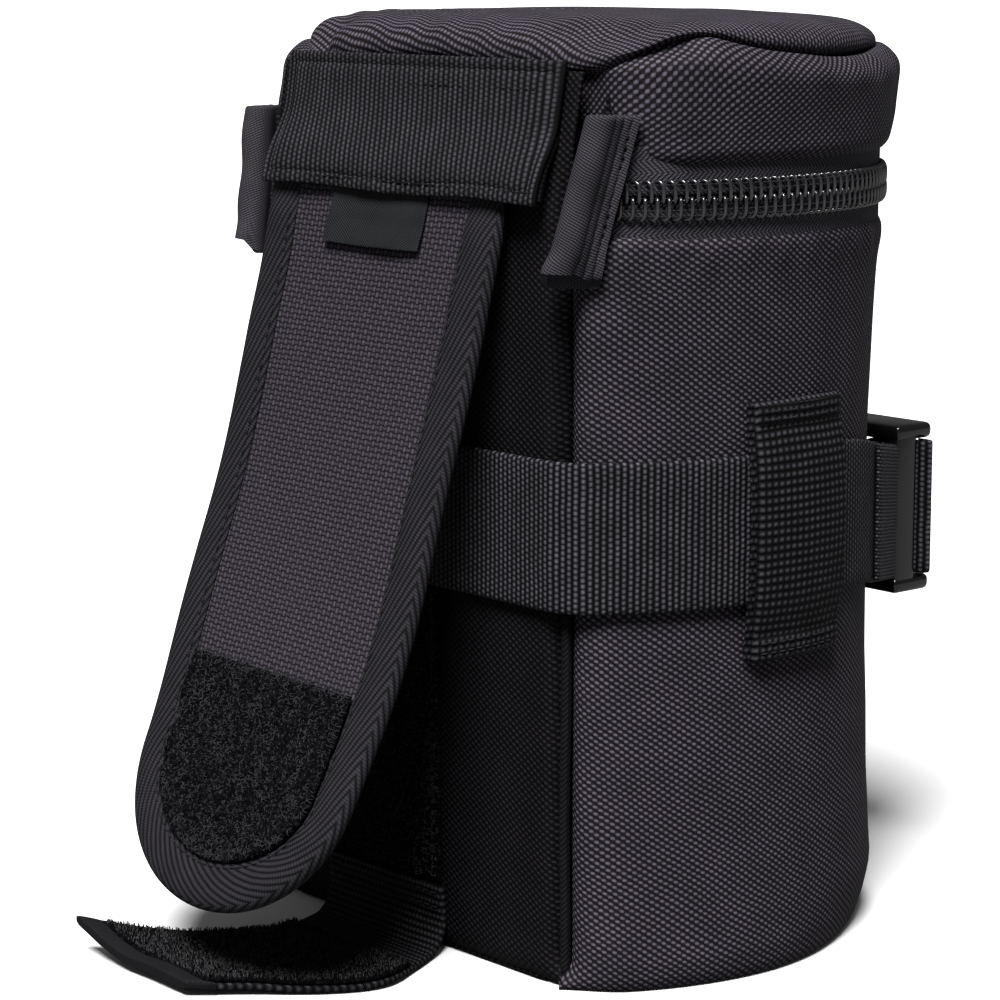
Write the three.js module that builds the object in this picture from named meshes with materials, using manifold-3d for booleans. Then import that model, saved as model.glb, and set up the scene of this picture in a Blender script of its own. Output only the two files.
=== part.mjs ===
// A padded lens pouch with a round front, a flat back, a deep hinged lid, a belt flap and a compression belt.
// Millimetres, +Z up. The origin is on the floor, on the axis of the round wall. The flat back faces -Y.
import * as THREE from "three";
import { mergeVertices } from "three/addons/utils/BufferGeometryUtils.js";
import Module from "manifold-3d";

const wasm = await Module();
wasm.setup();
const degrees = THREE.MathUtils.degToRad;

// Overall sizes
const wallRadius = 63.5;
const backDistance = 43;
const lidTopHeight = 194;
const lidDepth = 36;
const zipHeight = lidTopHeight - lidDepth;

// Layers of the padded wall
const gap = 0.3;
const fabric = 1.2;
const foam = 5;
const lining = 0.8;
const webbing = 1.6;
const tapeThickness = 0.8;

// Body
const bottomRadius = 7;
const wrapBelowZip = 6.5;
const foamBelowZip = 5.1;
const liningBelowZip = 4.6;
const stepBelowZip = 11.3;
const leanBelowZip = 4;
const backBelowTop = 9.4;
const innerBackBelowTop = 16;
const wrapTop = zipHeight - wrapBelowZip;
const foamTop = zipHeight - foamBelowZip;
const liningTop = zipHeight - liningBelowZip;
const tapeStepHeight = zipHeight - stepBelowZip;
const leanStart = zipHeight - leanBelowZip;
const backTop = lidTopHeight - backBelowTop;
const innerBackTop = lidTopHeight - innerBackBelowTop;
const backLean = 5.4;
const pipingRadius = 1.2;
const pipingBottom = 1.2;
const pipingBelowBelt = 0.8;

// Zip
const chainHeight = 8;
const chainGap = 1.8;
const chainProud = 0.9;
const chainDepth = 2.1;
const tapeReach = 6.7;
const zipEndBack = 32;

// Lid
const hingeBelowTop = 8;
const lidRearTop = 36.3;
const sideAboveZip = 5.6;
const padAboveZip = 5.2;
const topPanelHeight = 7.6;
const topPanelGap = 0.8;
const topPanelEdgeHeight = 2.2;
const topPanelBulge = 0.8;
const seamInset = 2.4;
const lidSideBulge = 3.2;
const topPadBelowTop = 3.4;
const topPadEdgeHeight = 3.2;
const topPadHeight = 8.4;
const padSpacing = 0.6;
const hingeHeight = lidTopHeight - hingeBelowTop;
const topPanelSeam = lidTopHeight - topPanelHeight;
const topPanelEdge = topPanelSeam + topPanelEdgeHeight;
const lidSideBottom = zipHeight + sideAboveZip;
const lidSideTop = topPanelSeam - topPanelGap;
const topPadTop = lidTopHeight - topPadBelowTop;
const topPadBottom = topPadTop - topPadHeight;
const topPadEdge = topPadBottom + topPadEdgeHeight;
const lidPadBottom = zipHeight + padAboveZip;
const lidPadTop = topPadBottom - padSpacing;
const cornerFoldTop = innerBackTop;

// Top band
const bandHalfWidth = 43.5;
const bandBelowZip = 1;
const bandBottom = zipHeight - bandBelowZip;
const bandTop = backTop - gap;
const hemHalfWidth = 37;
const hemThickness = 3;
const hemAboveZip = 20;
const hemTop = zipHeight + hemAboveZip;

// Flap
const flapHingeOut = 3.2;
const flapBelowZip = 3.4;
const flapFloorRoom = 4.6;
const flapHingeHeight = zipHeight - flapBelowZip;
const flapStart = 1.4;
const flapLength = flapHingeHeight - flapFloorRoom;
const flapAside = -2;
const flapTopHalfWidth = 37;
const flapHalfWidth = 42.5;
const flapWideFrom = 34;
const flapPanelThickness = 1;
const flapLiningThickness = 0.7;
const bindingWidth = 10;
const bindingThickness = 0.5;
const fastenerThickness = 1.2;
const loopPatchLength = 50;
const hookPatchStart = 58;
const hookPatchEnd = 118;
const hookPatchHalfWidth = 20;
const labelLeft = -17;
const labelRight = 15;
const labelStart = 3;
const labelEnd = 14;
const labelThickness = 0.7;
// How far the hanging flap stands out of the vertical, at its ends and more in its middle
const flapEndLean = degrees(12.5);
const flapMiddleLean = degrees(7.5);

// Hook strap at the foot of the back
const strapHalfWidth = 19;
const strapSewnTop = 14;
const strapBend = 7;
const strapReach = 51;
const strapLift = 3;
const strapHem = 5;
const strapHemThickness = 3.6;
const strapPatchStart = 14;
const strapPatchEnd = 52;
// Sideways places of the strap's middle along its length, and how high its far corner lifts
const strapMiddle = [-8, -7, -3, 0, -4, -10, -16];
const loopPanelLeft = -27;
const loopPanelRight = 10.9;
const loopPanelBottom = 15;

// Compression belt and its side loops
const beltHalfHeight = 15;
const beltHeight = 92.3;
const beltDropFrom = degrees(14);
const beltDrop = 9.8;
const beltCornerRound = 1;
const loopLeft = degrees(-7.5);
const loopRight = degrees(16.5);
const loopBelowBelt = 11.7;
const loopAboveBelt = 10.2;
const loopSlope = 3;

// Buckle
const buckleHeight = beltHeight - beltDrop;
const buckleHalfHeight = 19;
const buckleInnerFace = 65.6;
const buckleThickness = 12;
const buckleReach = 32;
const buckleSplit = 5;
const buckleWall = 2;
const buckleCorner = 4;
const barThickness = 3.4;
const barWidth = 3.2;
const slotWidth = 4.6;
const prongLength = 19;
const prongThickness = 3.4;
const prongDepth = 5;
const prongHead = 3.2;
const windowLength = 12;

// Strap loops over the zip ends
const tabHeight = 33;
const tabLean = degrees(11);
const tabAngle = degrees(-37);
const tabFront = 5.5;
const tabRear = 8.5;
const tabRoll = 3.1;

// Sliders and pulls
const sliderAngle = degrees(7);
const sliderLength = 11;
const sliderHeight = 7;
const sliderPlate = 1;
const sliderPostHeight = 1.2;
const sliderPostLength = 3;
const sliderOuterGap = 1.2;
const sliderInnerGap = 0.6;
const bridgeLength = 7;
const bridgeBar = 1.2;
const bridgeOut = 3.4;
const pullWidth = 6;
const pullLength = 25;
const pullThickness = 1.4;

// Finishes, as colour, roughness and metalness
const finishes = {
  ballistic: [0x2c2a2e, 0.9, 0],
  foam: [0x3a3a3c, 0.95, 0],
  lining: [0x3f3e43, 0.92, 0],
  webbing: [0x242326, 0.88, 0],
  canvas: [0x343137, 0.92, 0],
  binding: [0x29272b, 0.86, 0],
  fuzzy: [0x0f0f11, 1, 0],
  hooks: [0x141416, 0.7, 0],
  tape: [0x1e1d20, 0.9, 0],
  coil: [0x0d0d0f, 0.35, 0],
  moulded: [0x17181a, 0.38, 0],
  metal: [0x1a1a1c, 0.4, 0.8],
  label: [0x131315, 0.8, 0],
};

const sides = [["left", -1], ["right", 1]];
const arcSteps = 36;
const shareSteps = (count, from = 0, to = 1) =>
  Array.from({ length: count + 1 }, (_, i) => from + ((to - from) * i) / count);
const pouch = new THREE.Group();

function addPiece(name, finish, geometry) {
  const [color, roughness, metalness] = finishes[finish];
  const material = new THREE.MeshStandardMaterial({ color, roughness, metalness });
  const mesh = new THREE.Mesh(geometry, material);
  mesh.name = name;
  pouch.add(mesh);
  return mesh;
}

// A closed surface from points and triangles, turned so that its faces point out.
function closedSurface(points, triangles) {
  let volume = 0;
  for (const [a, b, c] of triangles) {
    volume += points[a].dot(new THREE.Vector3().crossVectors(points[b], points[c]));
  }
  const index = triangles.flatMap(([a, b, c]) => (volume < 0 ? [a, c, b] : [a, b, c]));
  const geometry = new THREE.BufferGeometry().setFromPoints(points);
  geometry.setIndex(index);
  geometry.computeVertexNormals();
  return geometry;
}

// Carries a closed outline of (a, b) pairs through the stations and closes both ends.
function sweep(outline, stations, place) {
  const flat = outline.map(([a, b]) => new THREE.Vector2(a, b));
  if (THREE.ShapeUtils.isClockWise(flat)) flat.reverse();
  const count = flat.length;
  const points = stations.flatMap((station) => flat.map((p) => place(p.x, p.y, station)));
  const triangles = [];
  for (let i = 0; i + 1 < stations.length; i++) {
    for (let j = 0; j < count; j++) {
      const near = i * count + j;
      const next = i * count + ((j + 1) % count);
      triangles.push([near, next, near + count], [next, next + count, near + count]);
    }
  }
  const last = (stations.length - 1) * count;
  for (const face of THREE.ShapeUtils.triangulateShape(flat, [])) {
    const [a, b, c] = face;
    const turn = flat[b].clone().sub(flat[a]).cross(flat[c].clone().sub(flat[a]));
    const [p, q, r] = turn > 0 ? [a, b, c] : [a, c, b];
    triangles.push([p, r, q], [last + p, last + q, last + r]);
  }
  return closedSurface(points, triangles);
}

// Joins rings of equal point count into a closed solid, with its first and last rings filled.
function loft(rings) {
  const count = rings[0].length;
  const points = rings.flat();
  const triangles = [];
  for (let i = 0; i + 1 < rings.length; i++) {
    for (let j = 0; j < count; j++) {
      const near = i * count + j;
      const next = i * count + ((j + 1) % count);
      triangles.push([near, next, near + count], [next, next + count, near + count]);
    }
  }
  const fill = (ring, start, flip) => {
    const middle = ring.reduce((sum, p) => sum.add(p), new THREE.Vector3()).divideScalar(count);
    const at = points.push(middle) - 1;
    for (let j = 0; j < count; j++) {
      const pair = [start + j, start + ((j + 1) % count)];
      triangles.push(flip ? [at, pair[1], pair[0]] : [at, pair[0], pair[1]]);
    }
  };
  fill(rings[0], 0, true);
  fill(rings[rings.length - 1], (rings.length - 1) * count, false);
  return closedSurface(points, triangles);
}

function toSolid(geometry) {
  const bare = geometry.clone();
  bare.deleteAttribute("normal");
  bare.deleteAttribute("uv");
  const merged = mergeVertices(bare, 1e-4);
  return new wasm.Manifold(
    new wasm.Mesh({
      numProp: 3,
      vertProperties: merged.attributes.position.array,
      triVerts: new Uint32Array(merged.index.array),
    }),
  );
}

function fromSolid(solid) {
  const made = solid.getMesh();
  const geometry = new THREE.BufferGeometry();
  geometry.setAttribute("position", new THREE.BufferAttribute(made.vertProperties, 3));
  geometry.setIndex(new THREE.BufferAttribute(made.triVerts, 1));
  geometry.computeVertexNormals();
  return geometry;
}

// A box between two corners.
function block(low, high) {
  const size = high.map((v, i) => v - low[i]);
  const middle = high.map((v, i) => (v + low[i]) / 2);
  return new THREE.BoxGeometry(...size).translate(...middle);
}

// A rounded rectangle in X and Z, as thick in Y as asked.
function roundedSlab(lowX, highX, lowZ, highZ, lowY, highY, radius) {
  const shape = new THREE.Shape();
  const corners = [
    [highX - radius, lowZ + radius, -Math.PI / 2],
    [highX - radius, highZ - radius, 0],
    [lowX + radius, highZ - radius, Math.PI / 2],
    [lowX + radius, lowZ + radius, Math.PI],
  ];
  for (const [x, z, start] of corners) shape.absarc(x, z, radius, start, start + Math.PI / 2);
  const geometry = new THREE.ExtrudeGeometry(shape, {
    depth: highY - lowY,
    bevelEnabled: false,
    curveSegments: 4,
  });
  return geometry.rotateX(Math.PI / 2).translate(0, highY, 0);
}

// The round wall
// A point of the wall, inset from its outer surface. The wall ends at the plane y = -rear on both sides,
// and share runs from -1 at the left end, over 0 at the front, to 1 at the right end.
function wallPoint(inset, z, share, rear) {
  const radius = wallRadius - inset;
  const reach = Math.PI / 2 + Math.asin(rear / radius);
  const angle = Math.PI / 2 - share * reach;
  return new THREE.Vector3(radius * Math.cos(angle), radius * Math.sin(angle), z);
}

const wallStations = shareSteps(arcSteps, -1, 1);
const wallSweep = (outline, rear) =>
  sweep(outline, wallStations, (inset, z, share) => wallPoint(inset, z, share, rear));

// A ring round the D of the body: the wall at an inset, closed across the back.
function bodyRing(inset, rear, z) {
  return wallStations.map((share) => wallPoint(inset, z, share, rear));
}

const foamInset = fabric + gap;
const liningInset = foamInset + foam + gap;
const insideInset = liningInset + lining;
const tapeInset = foamInset;
const stepInset = tapeInset + tapeThickness + gap;
const quarterSteps = shareSteps(5, 0, Math.PI / 2);

// The lower corner of the wall, as an arc under the given inset.
function bottomCorner(inset) {
  const radius = bottomRadius - inset;
  return quarterSteps.map((turn) => [
    bottomRadius - radius * Math.cos(turn),
    bottomRadius - radius * Math.sin(turn),
  ]);
}

function addWall() {
  const wrapOutline = [
    [0, wrapTop],
    ...bottomCorner(0),
    ...bottomCorner(fabric).reverse(),
    [fabric, wrapTop],
  ];
  addPiece("outer_wrap", "ballistic", wallSweep(wrapOutline, backDistance - foamInset));

  const foamInner = foamInset + foam;
  const corner = bottomCorner(foamInset).filter(([inset]) => inset < foamInner);
  const foamOutline = [
    [stepInset, foamTop],
    [stepInset, tapeStepHeight],
    [foamInset, tapeStepHeight],
    ...corner,
    [foamInner, corner[corner.length - 1][1]],
    [foamInner, foamTop],
  ];
  addPiece("foam_wrap", "foam", wallSweep(foamOutline, backDistance - liningInset));

  const liningBottom = liningInset;
  const liningOutline = [
    [liningInset, liningBottom],
    [insideInset, liningBottom],
    [insideInset, liningTop],
    [liningInset, liningTop],
  ];
  addPiece("lining_wrap", "lining", wallSweep(liningOutline, backDistance - insideInset - gap));
}

// The back's outer face leans in above the zip.
const lean = (z) => (backLean * Math.max(z - leanStart, 0)) / (backTop - leanStart);
const onBack = (out, z, x) => new THREE.Vector3(x, -backDistance + lean(z) - out, z);

// A sheet on the back, between two distances out from its outer face.
function backSheet(lowOut, highOut, lowX, highX, bottom, top) {
  const heights = bottom < leanStart && top > leanStart ? [bottom, leanStart, top] : [bottom, top];
  const outline = [...heights.map((z) => [lowOut, z]), ...heights.map((z) => [highOut, z]).reverse()];
  return sweep(outline, [lowX, highX], onBack);
}

const backPlate = (depth, thickness, halfWidth, bottom, top) =>
  backSheet(-depth, -depth - thickness, -halfWidth, halfWidth, bottom, top);

// Half the width of the wall's circle at a depth from the back face.
const halfWidthAt = (inset, depth) => Math.sqrt((wallRadius - inset) ** 2 - (backDistance - depth) ** 2);
const seamHalfWidth = halfWidthAt(0, 0);

function addBack() {
  addPiece("outer_back_panel", "ballistic", backPlate(0, fabric, seamHalfWidth - gap, 0, backTop));
  const foamHalf = halfWidthAt(foamInset, foamInset) - gap;
  addPiece("foam_back", "foam", backPlate(foamInset, foam, foamHalf, foamInset + foam + gap, innerBackTop));
  const liningHalf = halfWidthAt(liningInset, liningInset) - gap;
  addPiece("lining_back", "lining", backPlate(liningInset, lining, liningHalf, liningInset, innerBackTop));

  const pipingOut = pipingRadius + gap;
  const pipingTop = beltHeight - beltHalfHeight - pipingBelowBelt;
  const away = new THREE.Vector2(seamHalfWidth, -backDistance).normalize().multiplyScalar(pipingOut);
  for (const [side, sign] of sides) {
    const piping = new THREE.CylinderGeometry(pipingRadius, pipingRadius, pipingTop - pipingBottom, 8);
    piping.rotateX(Math.PI / 2).translate(0, 0, (pipingTop + pipingBottom) / 2);
    const mesh = addPiece(`corner_piping_${side}`, "binding", piping);
    mesh.position.set(sign * (seamHalfWidth + away.x), -backDistance + away.y, 0);
  }
}

function addBase() {
  const slab = (inset, rear, bottom, top) =>
    loft([bodyRing(inset, rear, bottom), bodyRing(inset, rear, top)]);
  addPiece("outer_base", "ballistic", slab(bottomRadius + gap, backDistance - foamInset, 0, fabric));
  const foamBaseTop = foamInset + foam;
  addPiece("foam_base", "foam", slab(liningInset, backDistance - foamInset, foamInset, foamBaseTop));
  const linedInset = insideInset + gap;
  const liningTopFace = liningInset + lining;
  addPiece("lining_base", "lining", slab(linedInset, backDistance - linedInset, liningInset, liningTopFace));
}

// The zip, in a lower half on the body and an upper half on the lid
function zipHalf(low, high, insetLow, insetHigh) {
  const outline = [
    [insetLow, low],
    [insetHigh, low],
    [insetHigh, high],
    [insetLow, high],
  ];
  return wallSweep(outline, zipEndBack);
}

function coilHalf(low, high) {
  const middle = (low + high) / 2;
  const inner = -chainProud + chainDepth;
  const crown = (inner + chainProud) / 4;
  const outline = [
    [inner, low],
    [inner, high],
    [-chainProud + crown, high],
    [-chainProud, middle],
    [-chainProud + crown, low],
  ];
  return wallSweep(outline, zipEndBack);
}

function addZip() {
  const half = chainHeight / 2;
  const slot = chainGap / 2;
  const tapeInner = tapeInset + tapeThickness;
  const tapeLow = zipHeight - half - tapeReach;
  const tapeHigh = zipHeight + half + tapeReach;
  addPiece("zip_tape_lower", "tape", zipHalf(tapeLow, zipHeight - slot, tapeInset, tapeInner));
  addPiece("zip_coil_lower", "coil", coilHalf(zipHeight - half, zipHeight - slot));
  addPiece("zip_tape_upper", "tape", zipHalf(zipHeight + slot, tapeHigh, tapeInset, tapeInner));
  addPiece("zip_coil_upper", "coil", coilHalf(zipHeight + slot, zipHeight + half));
}

// Lid
// Where the lid's side ends behind: a plane from the zip's end up to the hinge.
const lidRear = (z) => {
  const share = (z - zipHeight) / (hingeHeight - zipHeight);
  return zipEndBack + (lidRearTop - zipEndBack) * Math.min(Math.max(share, 0), 1);
};
const fadeShare = 0.8;
// The lid's side swells outwards, less towards its rear ends.
function lidFade(share) {
  const near = (1 - Math.abs(share)) / (1 - fadeShare);
  return THREE.MathUtils.smoothstep(near, 0, 1);
}

function addLid() {
  // Height shares of the side and how far each point swells, as shares of the bulge
  const swellShares = [[0, 0], [0.2, 0.55], [0.5, 1], [0.8, 0.85], [0.93, 0.3]];
  const sideHeight = lidSideTop - lidSideBottom;
  const outer = swellShares.map(([up, out]) => [-lidSideBulge * out, lidSideBottom + sideHeight * up]);
  outer.push([seamInset, lidSideTop]);
  const inner = outer.map(([inset, z]) => [inset + fabric, z]);
  const placeSide = (inset, z, share) => {
    const isInner = inner.some(([a, b]) => a === inset && b === z);
    const base = isInner ? fabric : 0;
    const faded = z < lidSideTop ? base + (inset - base) * lidFade(share) : inset;
    return wallPoint(faded, z, share, lidRear(z));
  };
  addPiece("lid_side", "ballistic", sweep([...outer, ...inner.reverse()], wallStations, placeSide));

  const foamInner = foamInset + foam;
  const foamOutline = [
    [stepInset + seamInset - fabric, lidPadTop],
    [stepInset, lidPadBottom],
    [foamInner, lidPadBottom],
    [foamInner, lidPadTop],
  ];
  const insideRear = (z) => backDistance - insideInset - gap - lean(z);
  const insidePlace = (inset, z, share) => wallPoint(inset, z, share, insideRear(z));
  addPiece("lid_foam_side", "foam", sweep(foamOutline, wallStations, insidePlace));
  const liningEnd = lidPadTop - lining - gap;
  const cupOutline = [
    [liningInset, lidPadBottom],
    [insideInset, lidPadBottom],
    [insideInset, liningEnd],
    [liningInset, liningEnd],
  ];
  addPiece("lid_lining_side", "lining", sweep(cupOutline, wallStations, insidePlace));

  const edgeHeight = topPanelEdge - topPanelSeam;
  const topRise = lidTopHeight - topPanelEdge;
  // Rings of the top panel, as inset and height, from its seam over its edge to near its middle
  const outerRings = [
    [seamInset, topPanelSeam],
    [-topPanelBulge / 2, topPanelSeam + edgeHeight / 3],
    [-topPanelBulge, topPanelEdge],
    [bottomRadius / 3, topPanelEdge + topRise / 2],
    [bottomRadius * 2, lidTopHeight - topRise / 6],
    [wallRadius / 2, lidTopHeight],
  ];
  const ringAt = ([inset, z]) => lidRing(inset, z, lidRearTop);
  // The inner face lies a full fabric under the top, and closer where the panel turns in to its seam.
  const sinks = [0, -edgeHeight / 6, fabric / 3, fabric, fabric, fabric];
  const innerRings = outerRings.map(([inset, z], i) => [inset + fabric, z - sinks[i]]).reverse();
  addPiece("lid_top_panel", "ballistic", loft([...innerRings.map(ringAt), ...outerRings.map(ringAt)]));

  const padInset = seamInset + fabric + gap;
  const padRings = [
    [padInset, topPadBottom],
    [padInset, topPadEdge],
    [padInset * 2, (topPadEdge + topPadTop) / 2],
    [wallRadius / 2, topPadTop],
  ];
  addPiece("lid_foam_top", "foam", loft(padRings.map(ringAt)));
  const insideRing = (z) => lidRing(liningInset, z, insideRear(lidPadTop));
  addPiece("lid_lining_top", "lining", loft([insideRing(lidPadTop - lining), insideRing(lidPadTop)]));
}

// A ring of the lid's D, which keeps its flat rear edge near the hinge however far it is inset.
function lidRing(inset, z, rear) {
  const backShift = Math.max(inset, 0) * (rear / wallRadius);
  return wallStations.map((share) => wallPoint(inset, z, share, rear - backShift));
}

// The folds of the lid's side that stay behind the zip's ends
function addCornerGussets() {
  const outline = [
    [0, wrapTop + gap],
    [fabric, wrapTop + gap],
    [fabric, leanStart],
    [fabric, zipHeight],
    [fabric, cornerFoldTop],
    [0, cornerFoldTop],
    [0, zipHeight],
    [0, leanStart],
  ];
  for (const [side, sign] of sides) {
    const place = (inset, z, share) => {
      const radius = wallRadius - inset;
      const front = -Math.asin((lidRear(z) + gap * 1.5) / radius);
      const back = -Math.asin((backDistance - foamInset - lean(z)) / radius);
      const angle = front + (back - front) * share;
      return new THREE.Vector3(sign * radius * Math.cos(angle), radius * Math.sin(angle), z);
    };
    addPiece(`corner_fold_${side}`, "ballistic", sweep(outline, shareSteps(4), place));
  }
}

// Loops of folded webbing that cover the zip's ends and take a shoulder strap
function addStrapLoops() {
  const shape = new THREE.Shape();
  const outside = gap + tabRoll * 2 + webbing;
  shape.moveTo(tabFront, gap);
  shape.lineTo(tabFront, gap + webbing * 2);
  shape.lineTo(0, gap + webbing * 2);
  shape.quadraticCurveTo(-tabRear * 0.4, outside, -tabRear + tabRoll, outside);
  shape.absarc(-tabRear + tabRoll, outside / 2 + gap / 2, outside / 2 - gap / 2, Math.PI / 2, Math.PI * 1.5);
  shape.lineTo(tabFront, gap);
  const hole = new THREE.Path();
  const holeMiddle = outside / 2 + gap / 2;
  hole.absellipse(-tabRear + tabRoll, holeMiddle, tabRoll / 2, tabRoll / 2, 0, Math.PI * 2, true);
  shape.holes.push(hole);
  for (const [side, sign] of sides) {
    const tab = new THREE.ExtrudeGeometry(shape, { depth: tabHeight, bevelEnabled: false, curveSegments: 6 });
    tab.translate(0, 0, -tabHeight / 2);
    const lean = new THREE.Matrix4().makeShear(0, 0, 0, 0, Math.tan(tabLean), 0);
    tab.applyMatrix4(lean);
    tab.translate(0, wallRadius, 0);
    tab.rotateZ(tabAngle - Math.PI / 2);
    // The local +X runs along the wall towards the front
    tab.applyMatrix4(new THREE.Matrix4().makeTranslation(0, 0, zipHeight));
    if (sign < 0) tab.applyMatrix4(new THREE.Matrix4().makeScale(-1, 1, 1));
    addPiece(`strap_loop_${side}`, "webbing", sign < 0 ? fromSolid(toSolid(flipFaces(tab))) : tab);
  }
}

function flipFaces(geometry) {
  const flat = geometry.index ? geometry.toNonIndexed() : geometry;
  const place = flat.getAttribute("position");
  for (let i = 0; i < place.count; i += 3) {
    const b = new THREE.Vector3().fromBufferAttribute(place, i + 1);
    const c = new THREE.Vector3().fromBufferAttribute(place, i + 2);
    place.setXYZ(i + 1, c.x, c.y, c.z);
    place.setXYZ(i + 2, b.x, b.y, b.z);
  }
  return flat;
}

// The band across the top of the back, with the flap's upper hem sewn under it
function addBand() {
  const hemOut = gap + hemThickness;
  const hemBottom = flapHingeHeight + flapPanelThickness / 2 + gap;
  const hem = backSheet(gap, hemOut, flapAside - hemHalfWidth, flapAside + hemHalfWidth, hemBottom, hemTop);
  addPiece("flap_hem", "canvas", hem);
  const bandOut = hemOut + gap;
  const outline = [
    [bandOut, bandBottom],
    [bandOut, hemTop],
    [gap, bandTop],
    [gap + webbing, bandTop],
    [bandOut + webbing, hemTop],
    [bandOut + webbing, bandBottom],
  ];
  addPiece("top_band", "webbing", sweep(outline, [-bandHalfWidth, bandHalfWidth], onBack));
}

// The flap hangs from its hinge line. Down is measured along it and out away from the body.
const hinge = new THREE.Vector3(0, -backDistance - flapHingeOut, flapHingeHeight);
const bendSteps = 75;
function flapPoint(x, down, out) {
  const step = down / bendSteps;
  const point = new THREE.Vector3(x, hinge.y, hinge.z);
  const leanAt = (length) => flapEndLean + flapMiddleLean * Math.sin((Math.PI * length) / flapLength);
  for (let i = 0; i < bendSteps; i++) {
    const angle = leanAt((i + 0.5) * step);
    point.y -= step * Math.sin(angle);
    point.z -= step * Math.cos(angle);
  }
  const angle = leanAt(down);
  point.y -= out * Math.cos(angle);
  point.z += out * Math.sin(angle);
  return point;
}

// Half the flap's width, inset from its edge, at a distance down.
function flapHalf(down, inset) {
  const radius = flapHalfWidth - inset;
  const tipStart = flapLength - flapHalfWidth;
  if (down > tipStart) return Math.sqrt(Math.max(radius ** 2 - (down - tipStart) ** 2, 0));
  const share = THREE.MathUtils.smoothstep(down, 0, flapWideFrom);
  return flapTopHalfWidth + (flapHalfWidth - flapTopHalfWidth) * share - inset;
}

// A sheet of the flap between two distances down and out, inset from the flap's edge.
function flapSheet(inset, start, lowOut, highOut) {
  const outline = [
    [-1, lowOut],
    [1, lowOut],
    [1, highOut],
    [-1, highOut],
  ];
  const tipStart = flapLength - flapHalfWidth;
  const tipLength = flapHalfWidth - inset;
  const straight = shareSteps(8, start, tipStart).filter((down) => down < tipStart);
  const round = quarterSteps.concat(Math.PI * 0.47).sort((a, b) => a - b).slice(0, -1);
  const stations = [...straight, ...round.map((turn) => tipStart + tipLength * Math.sin(turn))];
  return sweep(outline, stations, (share, out, down) =>
    flapPoint(flapAside + share * flapHalf(down, inset), down, out));
}

// A plain patch on the flap
function flapPatch(lowX, highX, start, end, lowOut, highOut) {
  const outline = [
    [lowX, lowOut],
    [highX, lowOut],
    [highX, highOut],
    [lowX, highOut],
  ];
  return sweep(outline, shareSteps(4, start, end), (x, out, down) => flapPoint(flapAside + x, down, out));
}

function addFlap() {
  const edge = bindingThickness + gap;
  const halfPanel = flapPanelThickness / 2;
  const liningHigh = -halfPanel - gap;
  const liningOut = liningHigh - flapLiningThickness;
  addPiece("flap_panel", "canvas", flapSheet(edge, 0, -halfPanel, halfPanel));
  addPiece("flap_lining", "lining", flapSheet(edge, flapStart, liningOut, liningHigh));

  // The binding folds round the flap's edge, from its top corners round its tip.
  const outerLow = halfPanel + gap;
  const outerHigh = outerLow + bindingThickness;
  const innerHigh = liningOut - gap;
  const innerLow = innerHigh - bindingThickness;
  const outline = [
    [0, innerLow],
    [bindingWidth, innerLow],
    [bindingWidth, innerHigh],
    [bindingThickness, innerHigh],
    [bindingThickness, outerLow],
    [bindingWidth, outerLow],
    [bindingWidth, outerHigh],
    [0, outerHigh],
  ];
  const tipStart = flapLength - flapHalfWidth;
  const straight = shareSteps(8, flapStart, tipStart);
  const turns = shareSteps(20, 0, Math.PI).slice(1, -1);
  const stations = [
    ...straight.map((down) => ({ side: -1, down })),
    ...turns.map((turn) => ({ turn })),
    ...straight.map((down) => ({ side: 1, down })).reverse(),
  ];
  const placeBinding = (inset, out, { side, down, turn }) => {
    if (side) return flapPoint(flapAside + side * flapHalf(down, inset), down, out);
    const radius = flapHalfWidth - inset;
    return flapPoint(flapAside - radius * Math.cos(turn), tipStart + radius * Math.sin(turn), out);
  };
  addPiece("flap_binding", "binding", sweep(outline, stations, placeBinding));

  const patchInset = bindingWidth + gap;
  const outerPatch = [outerLow, outerLow + fastenerThickness];
  addPiece("flap_loop_patch", "fuzzy", flapSheet(patchInset, flapLength - loopPatchLength, ...outerPatch));
  const half = hookPatchHalfWidth;
  const hookLow = innerHigh - fastenerThickness;
  const hooks = flapPatch(-half, half, hookPatchStart, hookPatchEnd, hookLow, innerHigh);
  addPiece("flap_hook_patch", "hooks", hooks);
  const label = flapPatch(labelLeft, labelRight, labelStart, labelEnd, outerLow, outerLow + labelThickness);
  addPiece("label", "label", label);
}

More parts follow.
